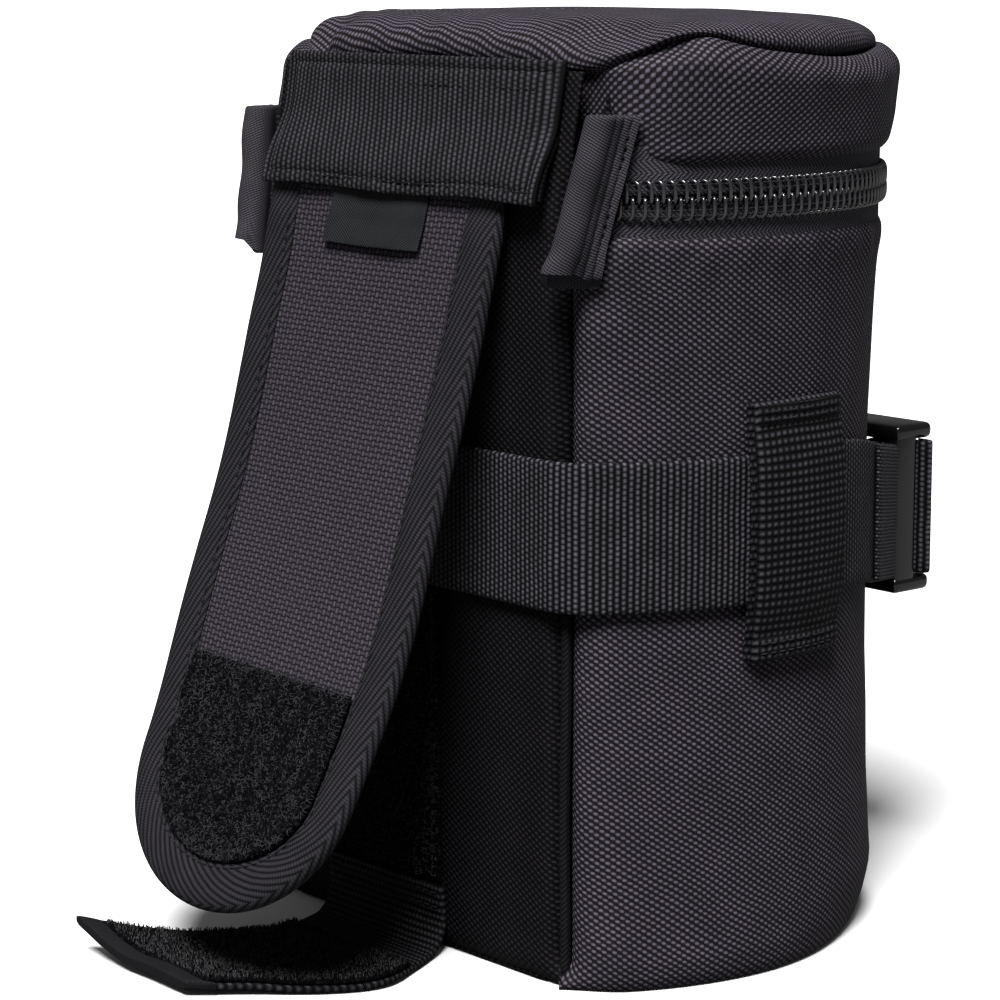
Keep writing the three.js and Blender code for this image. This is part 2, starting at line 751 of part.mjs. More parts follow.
// The fuzzy panel on the back and the strap that fastens the flap's tip
function addStrap() {
  const panelTop = beltHeight - beltHalfHeight - gap;
  const panelOut = gap + fastenerThickness;
  const panel = backSheet(gap, panelOut, loopPanelLeft, loopPanelRight, loopPanelBottom, panelTop);
  addPiece("back_loop_panel", "fuzzy", panel);

  // The strap's path, from its sewn top round its bend and out along the floor
  const bendCount = 6;
  const path = [];
  const middleOut = gap + webbing / 2;
  const floor = gap / 2 + webbing / 2;
  path.push(new THREE.Vector2(middleOut, strapSewnTop));
  for (const turn of shareSteps(bendCount, 0, Math.PI / 2)) {
    const out = middleOut + strapBend * (1 - Math.cos(turn));
    path.push(new THREE.Vector2(out, floor + strapBend * (1 - Math.sin(turn))));
  }
  for (const share of shareSteps(6).slice(1)) {
    path.push(new THREE.Vector2(middleOut + strapBend + strapReach * share, floor));
  }
  const spline = new THREE.SplineCurve(path);
  const middles = new THREE.SplineCurve(strapMiddle.map((x, i) => new THREE.Vector2(i, x)));
  const place = (x, up, share) => {
    const point = spline.getPointAt(share);
    const along = spline.getTangentAt(share);
    const side = middles.getPoint(share).y + x;
    const farLift = (x < 0 ? strapLift * share ** 4 : 0) + strapLift * 0.1 * share ** 4;
    const out = point.x - along.y * up;
    return new THREE.Vector3(side, -backDistance - out, point.y + along.x * up + farLift);
  };
  const length = spline.getLength();
  const strip = (half, from, to, low, high) => {
    const outline = [
      [-half, low],
      [0, low],
      [half, low],
      [half, high],
      [0, high],
      [-half, high],
    ];
    return sweep(outline, shareSteps(14, from / length, to / length), place);
  };
  const halfWebbing = webbing / 2;
  const hemStart = length - strapHem;
  const strap = strip(strapHalfWidth, 0, hemStart - gap, -halfWebbing, halfWebbing);
  addPiece("hook_strap_webbing", "webbing", strap);
  const hemHigh = strapHemThickness - halfWebbing;
  addPiece("hook_strap_hem", "binding", strip(strapHalfWidth, hemStart, length, -halfWebbing, hemHigh));
  const patchLow = halfWebbing + gap;
  const patchHigh = patchLow + fastenerThickness;
  const patch = strip(strapHalfWidth - gap, strapPatchStart, strapPatchEnd, patchLow, patchHigh);
  addPiece("hook_strap_patch", "hooks", patch);
}

// The belt's plan path on the right: from the middle of the back round the wall, then straight to the buckle.
const beltRadius = wallRadius + gap + webbing / 2;
const buckleMiddleY = buckleInnerFace + buckleThickness / 2;
const wrapOut = barThickness / 2 + gap + webbing / 2;
const underBars = new THREE.Vector2(buckleReach, buckleMiddleY - wrapOut);
function beltPath() {
  const distance = underBars.length();
  const leave = Math.atan2(underBars.y, underBars.x) - Math.acos(beltRadius / distance);
  const backOut = backDistance + gap + webbing / 2;
  const cornerAngle = -Math.asin(backOut / beltRadius);
  const stations = [];
  const cornerX = Math.sqrt(beltRadius ** 2 - backOut ** 2);
  stations.push({ x: 0, y: -backOut, normal: -Math.PI / 2, drop: 0 });
  stations.push({ x: cornerX - beltCornerRound, y: -backOut, normal: -Math.PI / 2, drop: 0 });
  for (const share of shareSteps(26)) {
    const angle = cornerAngle + (leave - cornerAngle) * share;
    const drop = THREE.MathUtils.smoothstep(angle, beltDropFrom, degrees(66)) * beltDrop;
    const normal = share ? angle : (angle - Math.PI / 2) / 2;
    stations.push({ x: beltRadius * Math.cos(angle), y: beltRadius * Math.sin(angle), normal, drop });
  }
  const last = stations[stations.length - 1];
  for (const share of shareSteps(4).slice(1)) {
    stations.push({
      x: last.x + (underBars.x - last.x) * share,
      y: last.y + (underBars.y - last.y) * share,
      normal: leave,
      drop: last.drop + (beltDrop - last.drop) * share,
    });
  }
  return stations;
}

const beltPlace = (out, z, { x, y, normal, drop, sign }) =>
  new THREE.Vector3(sign * (x + out * Math.cos(normal)), y + out * Math.sin(normal), z - drop);

// Stations of the webbing at the buckle's height, from plan places and the directions of its outer face
const levelStations = (places) =>
  places.map(([x, y, normal]) => ({ x, y, normal: degrees(normal), drop: beltDrop }));

function addBelt() {
  const outline = [
    [-webbing / 2, beltHeight - beltHalfHeight],
    [webbing / 2, beltHeight - beltHalfHeight],
    [webbing / 2, beltHeight + beltHalfHeight],
    [-webbing / 2, beltHeight + beltHalfHeight],
  ];
  const path = beltPath();
  const low = buckleMiddleY - wrapOut;
  const high = buckleMiddleY + wrapOut;
  const turn = webbing / 2 + gap;
  const slotStart = buckleReach - barWidth;
  const slotMiddle = slotStart - slotWidth / 2;
  const slotEnd = slotStart - slotWidth;
  const secondMiddle = slotEnd - barWidth - slotWidth / 2;

  // On the left the webbing folds round the end bar and is sewn back on itself.
  const last = path[path.length - 2];
  const foldOut = webbing + gap;
  const foldBack = Math.PI + last.normal;
  const foldX = last.x + foldOut * Math.cos(last.normal);
  const foldY = last.y + foldOut * Math.sin(last.normal);
  const fold = levelStations([
    [slotStart, low, 90],
    [slotStart - turn * Math.SQRT1_2, low + turn * (1 - Math.SQRT1_2), 45],
    [slotStart - turn, low + turn, 0],
    [slotStart - turn, high - turn, 0],
    [slotStart - turn * Math.SQRT1_2, high - turn * (1 - Math.SQRT1_2), -45],
    [slotStart, high, -90],
    [buckleReach, high, -90],
    [buckleReach + turn, high - turn / 2, -120],
  ]);
  fold.push({ ...last, x: foldX, y: foldY, normal: foldBack - Math.PI * 2 });
  const left = [...path, ...fold].reverse();
  const right = path.slice(1, -1);
  const stations = [
    ...left.map((station) => ({ ...station, sign: -1 })),
    ...right.map((station) => ({ ...station, sign: 1 })),
  ];
  addPiece("compression_belt", "webbing", sweep(outline, stations, beltPlace));

  // On the right its end passes under the end bar, up through the slot, over the middle bar and down again.
  const start = path[path.length - 2];
  const end = path[path.length - 1];
  const gapShare = gap / Math.hypot(end.x - start.x, end.y - start.y);
  const mix = (key) => start[key] + (end[key] - start[key]) * gapShare;
  const threaded = levelStations([
    [slotStart, low, 90],
    [slotMiddle + turn / 2, low + turn / 2, 45],
    [slotMiddle, low + turn * 1.5, 0],
    [slotMiddle, high - turn * 1.5, 0],
    [slotMiddle - turn / 2, high - turn / 2, 45],
    [slotEnd, high, 90],
    [slotEnd - barWidth, high, 90],
    [secondMiddle + turn / 2, high - turn / 2, 135],
    [secondMiddle, high - turn * 1.5, 180],
    [secondMiddle, low, 180],
  ]);
  const endStations = [{ ...start, x: mix("x"), y: mix("y"), drop: mix("drop") }, end, ...threaded];
  const endPlace = (out, z, station) => beltPlace(out, z, { ...station, sign: 1 });
  addPiece("belt_end", "webbing", sweep(outline, endStations, endPlace));

  for (const [side, sign] of sides) {
    const out = [gap, gap + webbing];
    const over = [2 * gap + webbing, 2 * (gap + webbing)];
    const low = beltHeight - beltHalfHeight;
    const high = beltHeight + beltHalfHeight;
    const bottom = low - loopBelowBelt;
    const top = high + loopAboveBelt;
    const heights = [bottom, low - loopSlope, low - gap, high + gap, high + loopSlope, top];
    const isOver = [0, 0, 1, 1, 0, 0];
    const inner = heights.map((z, i) => [isOver[i] ? over[0] : out[0], z]);
    const outer = heights.map((z, i) => [isOver[i] ? over[1] : out[1], z]);
    const stations = shareSteps(5, loopLeft, loopRight);
    const place = (a, z, angle) =>
      new THREE.Vector3(sign * (wallRadius + a) * Math.cos(angle), (wallRadius + a) * Math.sin(angle), z);
    addPiece(`belt_loop_${side}`, "webbing", sweep([...inner, ...outer.reverse()], stations, place));
  }
}

// The side-release buckle at the front
function addBuckle() {
  const inner = buckleInnerFace;
  const outer = inner + buckleThickness;
  const low = buckleHeight - buckleHalfHeight;
  const high = buckleHeight + buckleHalfHeight;
  const solidSlab = (lowX, highX, radius) =>
    toSolid(roundedSlab(lowX, highX, low, high, inner, outer, radius));
  const solidBlock = (a, b) => toSolid(block(a, b));
  const barLow = buckleMiddleY - barThickness / 2;
  const barHigh = buckleMiddleY + barThickness / 2;
  const slotLow = low + barWidth;
  const slotHigh = high - barWidth;
  // Everything but the bars is cut away between the ends' side rails.
  const cutEnd = (solid, sign, slots) => {
    const ordered = (a, b) => [Math.min(a, b), Math.max(a, b)];
    const end = buckleReach + gap;
    const start = buckleReach - slots * (barWidth + slotWidth);
    let cut = solid;
    for (const [bottom, top] of [[inner - gap, barLow], [barHigh, outer + gap]]) {
      const [a, b] = ordered(sign * start, sign * end);
      cut = cut.subtract(solidBlock([a, bottom, slotLow], [b, top, slotHigh]));
    }
    for (let i = 0; i < slots; i++) {
      const from = buckleReach - barWidth - i * (barWidth + slotWidth);
      const [a, b] = ordered(sign * from, sign * (from - slotWidth));
      cut = cut.subtract(solidBlock([a, inner - gap, slotLow], [b, outer + gap, slotHigh]));
    }
    return cut;
  };

  const cavityLow = low + buckleWall * 2;
  const cavityHigh = high - buckleWall * 2;
  let female = solidSlab(-buckleReach, buckleSplit, buckleCorner);
  const cavityStart = -buckleReach + barWidth + slotWidth + barWidth;
  const insideNear = inner + buckleWall;
  const insideFar = outer - buckleWall;
  female = female.subtract(
    solidBlock([cavityStart, insideNear, cavityLow], [buckleSplit + gap, insideFar, cavityHigh]),
  );
  const windowEnd = buckleSplit - buckleWall * 3;
  const windowStart = windowEnd - windowLength;
  female = female.subtract(
    solidBlock([windowStart, insideNear, low - gap], [windowEnd, insideFar, high + gap]),
  );
  female = cutEnd(female, -1, 1);
  addPiece("buckle_female", "moulded", fromSolid(female));

  const maleStart = buckleSplit + gap;
  let male = solidSlab(maleStart, buckleReach, buckleCorner);
  male = cutEnd(male, 1, 2);
  // A guide tongue reaches into the female half.
  const tongueLow = buckleHeight - barWidth;
  const tongueHigh = buckleHeight + barWidth;
  const wallGap = buckleWall + gap;
  const tongue = solidBlock(
    [buckleSplit - prongLength, inner + wallGap, tongueLow],
    [maleStart + gap, outer - wallGap, tongueHigh],
  );
  male = male.add(tongue);
  addPiece("buckle_male", "moulded", fromSolid(male));

  // Two sprung prongs that catch in the female half's windows
  const tip = buckleSplit - prongLength;
  const near = buckleMiddleY - prongDepth / 2;
  const far = buckleMiddleY + prongDepth / 2;
  for (const [side, sign] of [["upper", 1], ["lower", -1]]) {
    const at = (offset) => buckleHeight + sign * offset;
    const box = (fromX, toX, from, to) =>
      solidBlock([fromX, near, Math.min(at(from), at(to))], [toX, far, Math.max(at(from), at(to))]);
    const armOuter = buckleHalfHeight - buckleWall * 2 - gap * 4;
    const armInner = armOuter - prongThickness;
    const headOuter = armOuter + prongHead + gap * 3;
    const head = box(windowStart + gap * 5, windowEnd - gap * 2, armInner, headOuter);
    const prong = box(tip, buckleSplit - gap, armInner, armOuter).add(head);
    addPiece(`buckle_prong_${side}`, "moulded", fromSolid(prong));
  }
}

// Zip sliders with hanging pulls. Here X runs along the zip, Y out of the wall and Z up from the chain.
function addSliders() {
  const halfLength = sliderLength / 2;
  const halfHeight = sliderHeight / 2;
  const outerFace = chainProud + sliderOuterGap;
  const innerFace = -tapeInset - tapeThickness - sliderInnerGap;
  const front = outerFace + sliderPlate;
  const plate = (from) => {
    const to = from + sliderPlate;
    return toSolid(roundedSlab(-halfLength, halfLength, -halfHeight, halfHeight, from, to, halfHeight / 2));
  };
  const post = block(
    [-sliderPostLength / 2, innerFace - sliderPlate / 2, -sliderPostHeight / 2],
    [sliderPostLength / 2, outerFace + sliderPlate / 2, sliderPostHeight / 2],
  );
  const barMiddle = front + bridgeOut - bridgeBar / 2;
  const halfBar = bridgeBar / 2;
  const halfBridge = bridgeLength / 2;
  const lug = (x) => {
    const low = [x, front - sliderPlate / 2, -halfBar];
    return toSolid(block(low, [x + bridgeBar, barMiddle + halfBar, halfBar]));
  };
  const bar = block([-halfBridge, barMiddle - halfBar, -halfBar], [halfBridge, barMiddle + halfBar, halfBar]);
  const slider = plate(outerFace)
    .add(plate(innerFace - sliderPlate))
    .add(toSolid(post))
    .add(lug(-halfBridge))
    .add(lug(halfBridge - bridgeBar))
    .add(toSolid(bar));

  const holeRadius = halfBar * Math.SQRT2 + gap;
  const ringRadius = holeRadius + bridgeBar - gap / 2;
  const ring = new THREE.Shape();
  ring.absarc(0, 0, ringRadius, 0, Math.PI * 2);
  const hole = new THREE.Path();
  hole.absarc(0, 0, holeRadius, 0, Math.PI * 2, true);
  ring.holes.push(hole);
  const ringWidth = bridgeLength - 2 * (bridgeBar + gap);
  const ringOptions = { depth: ringWidth, bevelEnabled: false, curveSegments: 6 };
  const ringTube = new THREE.ExtrudeGeometry(ring, ringOptions);
  ringTube.translate(0, 0, -ringWidth / 2).rotateY(Math.PI / 2).translate(0, barMiddle, 0);
  const tailTop = -(holeRadius + ringRadius) / 2;
  const halfPull = pullWidth / 2;
  const tailFace = barMiddle - pullThickness / 2;
  const tailBack = tailFace + pullThickness;
  const tail = roundedSlab(-halfPull, halfPull, -pullLength, tailTop, tailFace, tailBack, halfPull / 2);
  const pull = toSolid(ringTube).add(toSolid(tail));

  for (const [side, sign] of sides) {
    for (const [name, solid] of [["zip_slider", slider], ["zip_pull", pull]]) {
      const mesh = addPiece(`${name}_${side}`, "metal", fromSolid(solid).translate(0, wallRadius, zipHeight));
      mesh.rotation.z = -sign * sliderAngle;
    }
  }
}

addWall();
addBack();
addBase();
addLid();
addZip();
addCornerGussets();
addStrapLoops();
addBand();
addFlap();
addStrap();
addBelt();
addBuckle();
addSliders();

export default pouch;
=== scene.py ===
"""Looks of the padded lens pouch. Lengths are in millimetres here and turn into metres when a mesh is made."""
import math

import bmesh
import bpy
import numpy as np
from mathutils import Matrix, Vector


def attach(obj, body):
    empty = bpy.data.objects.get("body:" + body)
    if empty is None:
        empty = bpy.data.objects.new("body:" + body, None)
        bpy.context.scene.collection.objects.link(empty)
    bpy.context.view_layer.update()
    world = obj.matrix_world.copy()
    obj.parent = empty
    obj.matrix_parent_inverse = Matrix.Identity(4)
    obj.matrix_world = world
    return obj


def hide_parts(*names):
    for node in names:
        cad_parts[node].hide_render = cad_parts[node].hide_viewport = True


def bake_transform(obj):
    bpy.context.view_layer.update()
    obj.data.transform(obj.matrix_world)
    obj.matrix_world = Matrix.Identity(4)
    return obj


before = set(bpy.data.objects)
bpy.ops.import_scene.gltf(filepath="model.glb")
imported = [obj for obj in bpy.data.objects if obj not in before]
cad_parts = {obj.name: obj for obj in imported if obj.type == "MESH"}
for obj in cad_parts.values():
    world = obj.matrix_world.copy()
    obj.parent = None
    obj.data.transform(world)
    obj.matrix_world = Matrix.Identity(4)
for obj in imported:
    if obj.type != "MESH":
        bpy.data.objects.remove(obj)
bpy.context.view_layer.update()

# Main sizes, as in the part's source
R = 63.5
BACK = 43.0
ZIP_Z = 158.0
LEAN_START = 154.0
BACK_TOP = 184.6
BACK_LEAN = 5.4
GAP = 0.3
WEB = 1.6
SEAM = -math.asin(BACK / R)
MM = 0.001
CLOTH = 0.9
SIDES = (("left", -1), ("right", 1))
TURN = 2 * math.pi
OUT_OF_BACK = np.array([0.0, -1.0, 0.0])


# ---------------------------------------------------------------- curves and grids
def ease(a, b, x):
    t = np.clip((np.asarray(x, float) - a) / (b - a), 0, 1)
    return t * t * (3 - 2 * t)


def bump(x, centre, width):
    return np.exp(-((np.asarray(x, float) - centre) / width) ** 2)


def unit(v):
    return v / np.maximum(np.linalg.norm(v, axis=-1, keepdims=True), 1e-9)


def stack(*parts):
    """Coordinates side by side, spread to one shape."""
    return np.stack(np.broadcast_arrays(*parts), axis=-1)


def grid(a, b):
    return np.meshgrid(np.asarray(a, float), np.asarray(b, float), indexing="ij")


def span(a, b, n, edge=(0.25, 0.7)):
    """n steps from a to b, with extra lines close to both ends for a rounded edge."""
    close, inner = edge
    return np.array([a, a + close, *np.linspace(a + inner, b - inner, n), b - close, b])


def round_edge(pos, a, b, r=0.7, least=0.25):
    """Thickness share that falls off within r of the ends of a span."""
    t = np.clip(np.minimum(np.abs(pos - a), np.abs(b - pos)) / r, 0, 1)
    return least + (1 - least) * np.sqrt(1 - (1 - t) ** 2)


def edges(A, B, ra=0.8, rb=0.8, least=0.3):
    """Thickness share on a grid that falls off near all four borders."""
    return round_edge(A, A.min(), A.max(), ra, least) * round_edge(B, B.min(), B.max(), rb, least)


def spline(knots, n):
    """Points along a smooth curve through the knots, any number of columns."""
    k = np.asarray(knots, float)
    k = np.vstack([2 * k[0] - k[1], k, 2 * k[-1] - k[-2]])
    segments = len(k) - 3
    t = np.linspace(0, segments, n)
    i = np.minimum(t.astype(int), segments - 1)
    s = (t - i)[:, None]
    p0, p1, p2, p3 = k[i], k[i + 1], k[i + 2], k[i + 3]
    return 0.5 * (2 * p1 + (p2 - p0) * s + (2 * p0 - 5 * p1 + 4 * p2 - p3) * s * s
                  + (3 * p1 - p0 - 3 * p2 + p3) * s ** 3)


def lengths(path):
    return np.concatenate([[0], np.cumsum(np.linalg.norm(np.diff(path, axis=0), axis=1))])


def smooth_noise(shape, cells, seed):
    """Soft noise from -1 to 1 on a grid."""
    coarse = np.random.default_rng(seed).uniform(-1, 1, (cells[0] + 3, cells[1] + 3))
    u, v = np.linspace(0, cells[0], shape[0]), np.linspace(0, cells[1], shape[1])
    iu, iv = np.minimum(u.astype(int), cells[0] - 1), np.minimum(v.astype(int), cells[1] - 1)
    fu, fv = ease(0, 1, u - iu)[:, None], ease(0, 1, v - iv)[None, :]

    def row(b):
        return coarse[np.ix_(iu, iv + b)] * (1 - fu) + coarse[np.ix_(iu + 1, iv + b)] * fu

    return row(0) * (1 - fv) + row(1) * fv


# ---------------------------------------------------------------- mesh makers
def place(obj, body, slot_name, *nodes):
    if nodes:
        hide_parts(*nodes)
    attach(obj, body)
    return obj


def make(name, verts, faces, uvs, material, sharp=50):
    mesh = bpy.data.meshes.new(name)
    mesh.from_pydata((np.asarray(verts, float) * MM).tolist(), [], [list(map(int, f)) for f in faces])
    layer = mesh.uv_layers.new(name="UVMap")
    index = np.array([loop.vertex_index for loop in mesh.loops])
    layer.data.foreach_set("uv", np.asarray(uvs, float)[index].astype(np.float32).ravel())
    mesh.validate()
    mesh.shade_smooth()
    mesh.set_sharp_from_angle(angle=math.radians(sharp))
    mesh.materials.append(material)
    obj = bpy.data.objects.new(name, mesh)
    bpy.context.scene.collection.objects.link(obj)
    return obj


def fix_normals(obj):
    bm = bmesh.new()
    bm.from_mesh(obj.data)
    bmesh.ops.recalc_face_normals(bm, faces=bm.faces)
    bm.to_mesh(obj.data)
    bm.free()


def grid_faces(nu, nv, offset=0, flip=False, closed=False):
    faces = []
    for i in range(nu if closed else nu - 1):
        for j in range(nv - 1):
            a = offset + i * nv + j
            b = offset + ((i + 1) % nu) * nv + j
            face = (a, b, b + 1, a + 1)
            faces.append(face[::-1] if flip else face)
    return faces


def slab(name, points, uv, thick, material, share=1.0, up=1):
    """A closed sheet from a grid of middle points. up is the side that the outer face is on."""
    nu, nv = points.shape[:2]
    n = unit(np.cross(np.gradient(points, axis=0), np.gradient(points, axis=1))) * up
    half = np.broadcast_to(share * thick / 2, (nu, nv))[..., None]
    verts = np.concatenate([(points + n * half).reshape(-1, 3), (points - n * half).reshape(-1, 3)])
    uvs = np.concatenate([uv.reshape(-1, 2)] * 2)
    rear = nu * nv
    faces = grid_faces(nu, nv, 0, flip=up < 0) + grid_faces(nu, nv, rear, flip=up > 0)
    rim = [(i, 0) for i in range(nu)] + [(nu - 1, j) for j in range(1, nv)]
    rim += [(i, nv - 1) for i in range(nu - 2, -1, -1)] + [(0, j) for j in range(nv - 2, 0, -1)]
    ids = [i * nv + j for i, j in rim]
    for a, b in zip(ids, ids[1:] + ids[:1]):
        face = (a, a + rear, b + rear, b)
        faces.append(face if up > 0 else face[::-1])
    return make(name, verts, faces, uvs, material)


def surface(name, points, uv, material, flip=False, closed=False, cap=()):
    """A single grid surface, closed round its first direction if asked, with optional fans at its ends."""
    nu, nv = points.shape[:2]
    verts, uvs = list(points.reshape(-1, 3)), list(uv.reshape(-1, 2))
    faces = grid_faces(nu, nv, 0, flip, closed)
    for end in cap:
        j = 0 if end == "start" else nv - 1
        ring = [i * nv + j for i in range(nu)]
        centre = len(verts)
        verts.append(np.mean([verts[k] for k in ring], axis=0))
        uvs.append(np.mean([uvs[k] for k in ring], axis=0))
        for a, b in zip(ring, ring[1:] + ring[:1]):
            faces.append((a, centre, b) if (end == "start") == (not flip) else (b, centre, a))
    return make(name, verts, faces, uvs, material)


def cover(name, points, uv, material, body, node, fill=None, **shape):
    """A skin of the outer fabric, with the cloth's own thickness."""
    obj = surface(name, points, uv, material, **shape)
    solid = obj.modifiers.new("cloth", "SOLIDIFY")
    solid.thickness = CLOTH * MM
    solid.offset = -1
    place(obj, body, "ballistic_fabric", node)
    return obj


def tubes(name, rings, uvs, material, caps=1, flip=False):
    """Many short tubes in one mesh. rings holds a point for each tube, each ring along it and each side.

    flip turns the sides round. The end caps run round as caps says, 1 or -1, and 0 leaves them out.
    """
    ids = np.arange(np.prod(rings.shape[:3])).reshape(rings.shape[:3])
    after = np.roll(ids, -1, axis=2)
    faces = stack(ids[:, :-1], after[:, :-1], after[:, 1:], ids[:, 1:]).reshape(-1, 4)
    faces = (faces[:, ::-1] if flip else faces).tolist()
    if caps:
        faces += ids[:, 0, ::-caps].tolist() + ids[:, -1, ::caps].tolist()
    uvs = np.broadcast_to(uvs, (*rings.shape[:3], 2))
    return make(name, rings.reshape(-1, 3), faces, uvs.reshape(-1, 2), material, sharp=180)


def stitches(name, path, normal, material, body, pitch=2.4, stitch=1.7, radius=0.22, sink=0.05):
    """A row of sewn stitches: short thread humps along a path that dip into the cloth between them."""
    rows = sides = 5
    path = np.asarray(path, float)
    normal = np.broadcast_to(np.asarray(normal, float), path.shape)
    s = lengths(path)

    def sample(values, t):
        return stack(*(np.interp(t, s, column) for column in values.T))

    step = np.arange(rows) / (rows - 1)
    t = (np.arange(int(s[-1] / pitch)) * pitch + (pitch - stitch) / 2)[:, None] + stitch * step
    p, n = sample(path, t), unit(sample(normal, t))
    side = np.cross(n, unit(sample(path, np.minimum(t + 0.2, s[-1])) - p))
    lift = np.sin(math.pi * step)[:, None]
    thick = radius * (0.55 + 0.45 * lift)
    angle = TURN * np.arange(sides) / sides
    across, up = np.cos(angle) * thick, np.sin(angle) * thick + lift * radius - sink
    rings = p[:, :, None] + side[:, :, None] * across[..., None] + n[:, :, None] * up[..., None]
    obj = tubes(name, rings, stack(t[..., None], np.arange(sides) * 0.3), material)
    return place(obj, body, "binding_tape")


# ---------------------------------------------------------------- materials
def set_inputs(node, **values):
    for key, value in values.items():
        node.inputs[key.replace("_", " ")].default_value = value


class Mat:
    """A procedural material. Values are sockets or numbers; u and v are millimetres over the cloth."""

    def __init__(self, name, rough, spec):
        self.m = bpy.data.materials.new(name)
        self.m.use_nodes = True
        self.t = self.m.node_tree
        self.b = self.t.nodes["Principled BSDF"]
        set_inputs(self.b, Roughness=rough, Specular_IOR_Level=spec)
        uv_map = self.new("UVMap")
        uv_map.uv_map = "UVMap"
        self.uv = uv_map.outputs[0]
        split = self.new("SeparateXYZ")
        self.link(self.uv, split.inputs[0])
        self.u, self.v = split.outputs[0], split.outputs[1]

    def new(self, kind, **values):
        node = self.t.nodes.new("ShaderNode" + kind)
        set_inputs(node, **values)
        return node

    def link(self, a, b):
        self.t.links.new(a, b)

    def op(self, kind, a, b=None):
        node = self.new("Math")
        node.operation = kind
        for value, socket in zip((a, b), node.inputs):
            if isinstance(value, bpy.types.NodeSocket):
                self.link(value, socket)
            elif value is not None:
                socket.default_value = value
        return node.outputs[0]

    def add(self, a, b):
        return self.op("ADD", a, b)

    def sub(self, a, b):
        return self.op("SUBTRACT", a, b)

    def mul(self, a, b):
        return self.op("MULTIPLY", a, b)

    def div(self, a, b):
        return self.op("DIVIDE", a, b)

    def mix(self, f, a, b):
        """a where f is 0, b where f is 1."""
        return self.add(self.mul(a, self.sub(1.0, f)), self.mul(b, f))

    def hill(self, x):
        """A round yarn: x in periods, 1 on its crown and 0 in its gaps."""
        c = self.sub(self.op("FRACT", x), 0.5)
        return self.sub(1.0, self.mul(self.mul(c, c), 4.0))

    def crest(self, x):
        """A yarn that is never below 0, so that it can be raised to a power."""
        return self.op("MAXIMUM", self.hill(x), 0.0)

    def checker(self, a, b):
        """1 on every second cell of a grid, with a and b in cells."""
        cell = self.op("ABSOLUTE", self.add(self.op("FLOOR", a), self.op("FLOOR", b)))
        return self.op("LESS_THAN", self.op("MODULO", cell, 2.0), 0.5)

    def noise(self, scale, detail=2.0, rough=0.5, stretch=None, vector=None):
        """Noise in 0..1; scale is in features per millimetre over the cloth."""
        source = vector or self.uv
        node = self.new("TexNoise", Scale=scale, Detail=detail, Roughness=rough)
        if stretch:
            mapping = self.new("Mapping", Scale=(*stretch, 1))
            self.link(source, mapping.inputs[0])
            source = mapping.outputs[0]
        self.link(source, node.inputs["Vector"])
        return node.outputs["Fac"]

    def cells(self, scale):
        node = self.new("TexVoronoi", Scale=scale)
        self.link(self.uv, node.inputs["Vector"])
        return node.outputs["Distance"]

    def painted_shading_and_tone(self, height, base, patchy, patchy_share, fine, fine_share):
        """Brightness from a height: painted shade in the low gaps and painted sheen on the high crowns of the
        yarns, made uneven in patches and from thread to thread.
        """
        spots = self.add(self.mul(patchy, patchy_share), self.mul(fine, fine_share))
        return self.mul(height, self.add(base, spots))

    def colour(self, fac, warm, *stops):
        """Greys along fac, as pairs of a position and a value."""
        ramp = self.new("ValToRGB")
        elements = ramp.color_ramp.elements
        shades = [(at, (*grey(value, warm), 1)) for at, value in stops]
        elements[0].position, elements[0].color = shades[0]
        elements[1].position, elements[1].color = shades[-1]
        for at, shade in shades[1:-1]:
            elements.new(at).color = shade
        self.link(fac, ramp.inputs[0])
        self.link(ramp.outputs[0], self.b.inputs["Base Color"])

    def relief(self, height, distance, strength=0.9):
        node = self.new("Bump", Strength=strength, Distance=distance * MM)
        self.link(height, node.inputs["Height"])
        self.link(node.outputs[0], self.b.inputs["Normal"])

    def roughness(self, fac, low, high):
        node = self.new("MapRange", To_Min=low, To_Max=high)
        self.link(fac, node.inputs["Value"])
        self.link(node.outputs[0], self.b.inputs["Roughness"])


def grey(v, warm=0.0):
    """A dark cloth colour, a little purple where warm is above 0."""
    return v * (1 + warm * 0.15), v * (0.95 - warm * 0.1), v * (1.12 + warm * 0.1)


def ballistic(name, top, low, warm=0.35):
    """Dots of the floating yarns on a staggered square grid, with crossings between them that are dark as painted
    shade.
    """
    m = Mat(name, 0.72, 0.07)
    drift = m.noise(0.05)
    slanted = m.add(m.u, m.mul(m.v, 0.06))
    a = m.div(m.add(slanted, m.mul(drift, 1.6)), 0.98)
    b = m.div(m.add(m.v, m.mul(drift, 1.2)), 0.7)
    over = m.op("POWER", m.mul(m.crest(a), m.crest(b)), 0.6)
    dots = m.mix(m.checker(a, b), m.mul(m.hill(a), 0.28), m.add(0.3, m.mul(over, 0.7)))
    height = m.add(m.mul(dots, 0.62), m.mul(m.crest(m.mul(m.add(a, b), 0.5)), 0.38))
    patchy = m.noise(0.11, 3.0)
    # The colour follows the weave's height: painted shade in the crossings, painted sheen on the dots' crowns.
    m.colour(m.painted_shading_and_tone(height, 0.62, patchy, 0.36, m.noise(1.3, 1.0), 0.34), warm,
             (0.0, low), (0.35, top * 0.14), (0.7, top * 0.7), (1.0, top * 1.8))
    m.relief(height, 0.22)
    m.roughness(patchy, 0.66, 0.8)
    return m.m


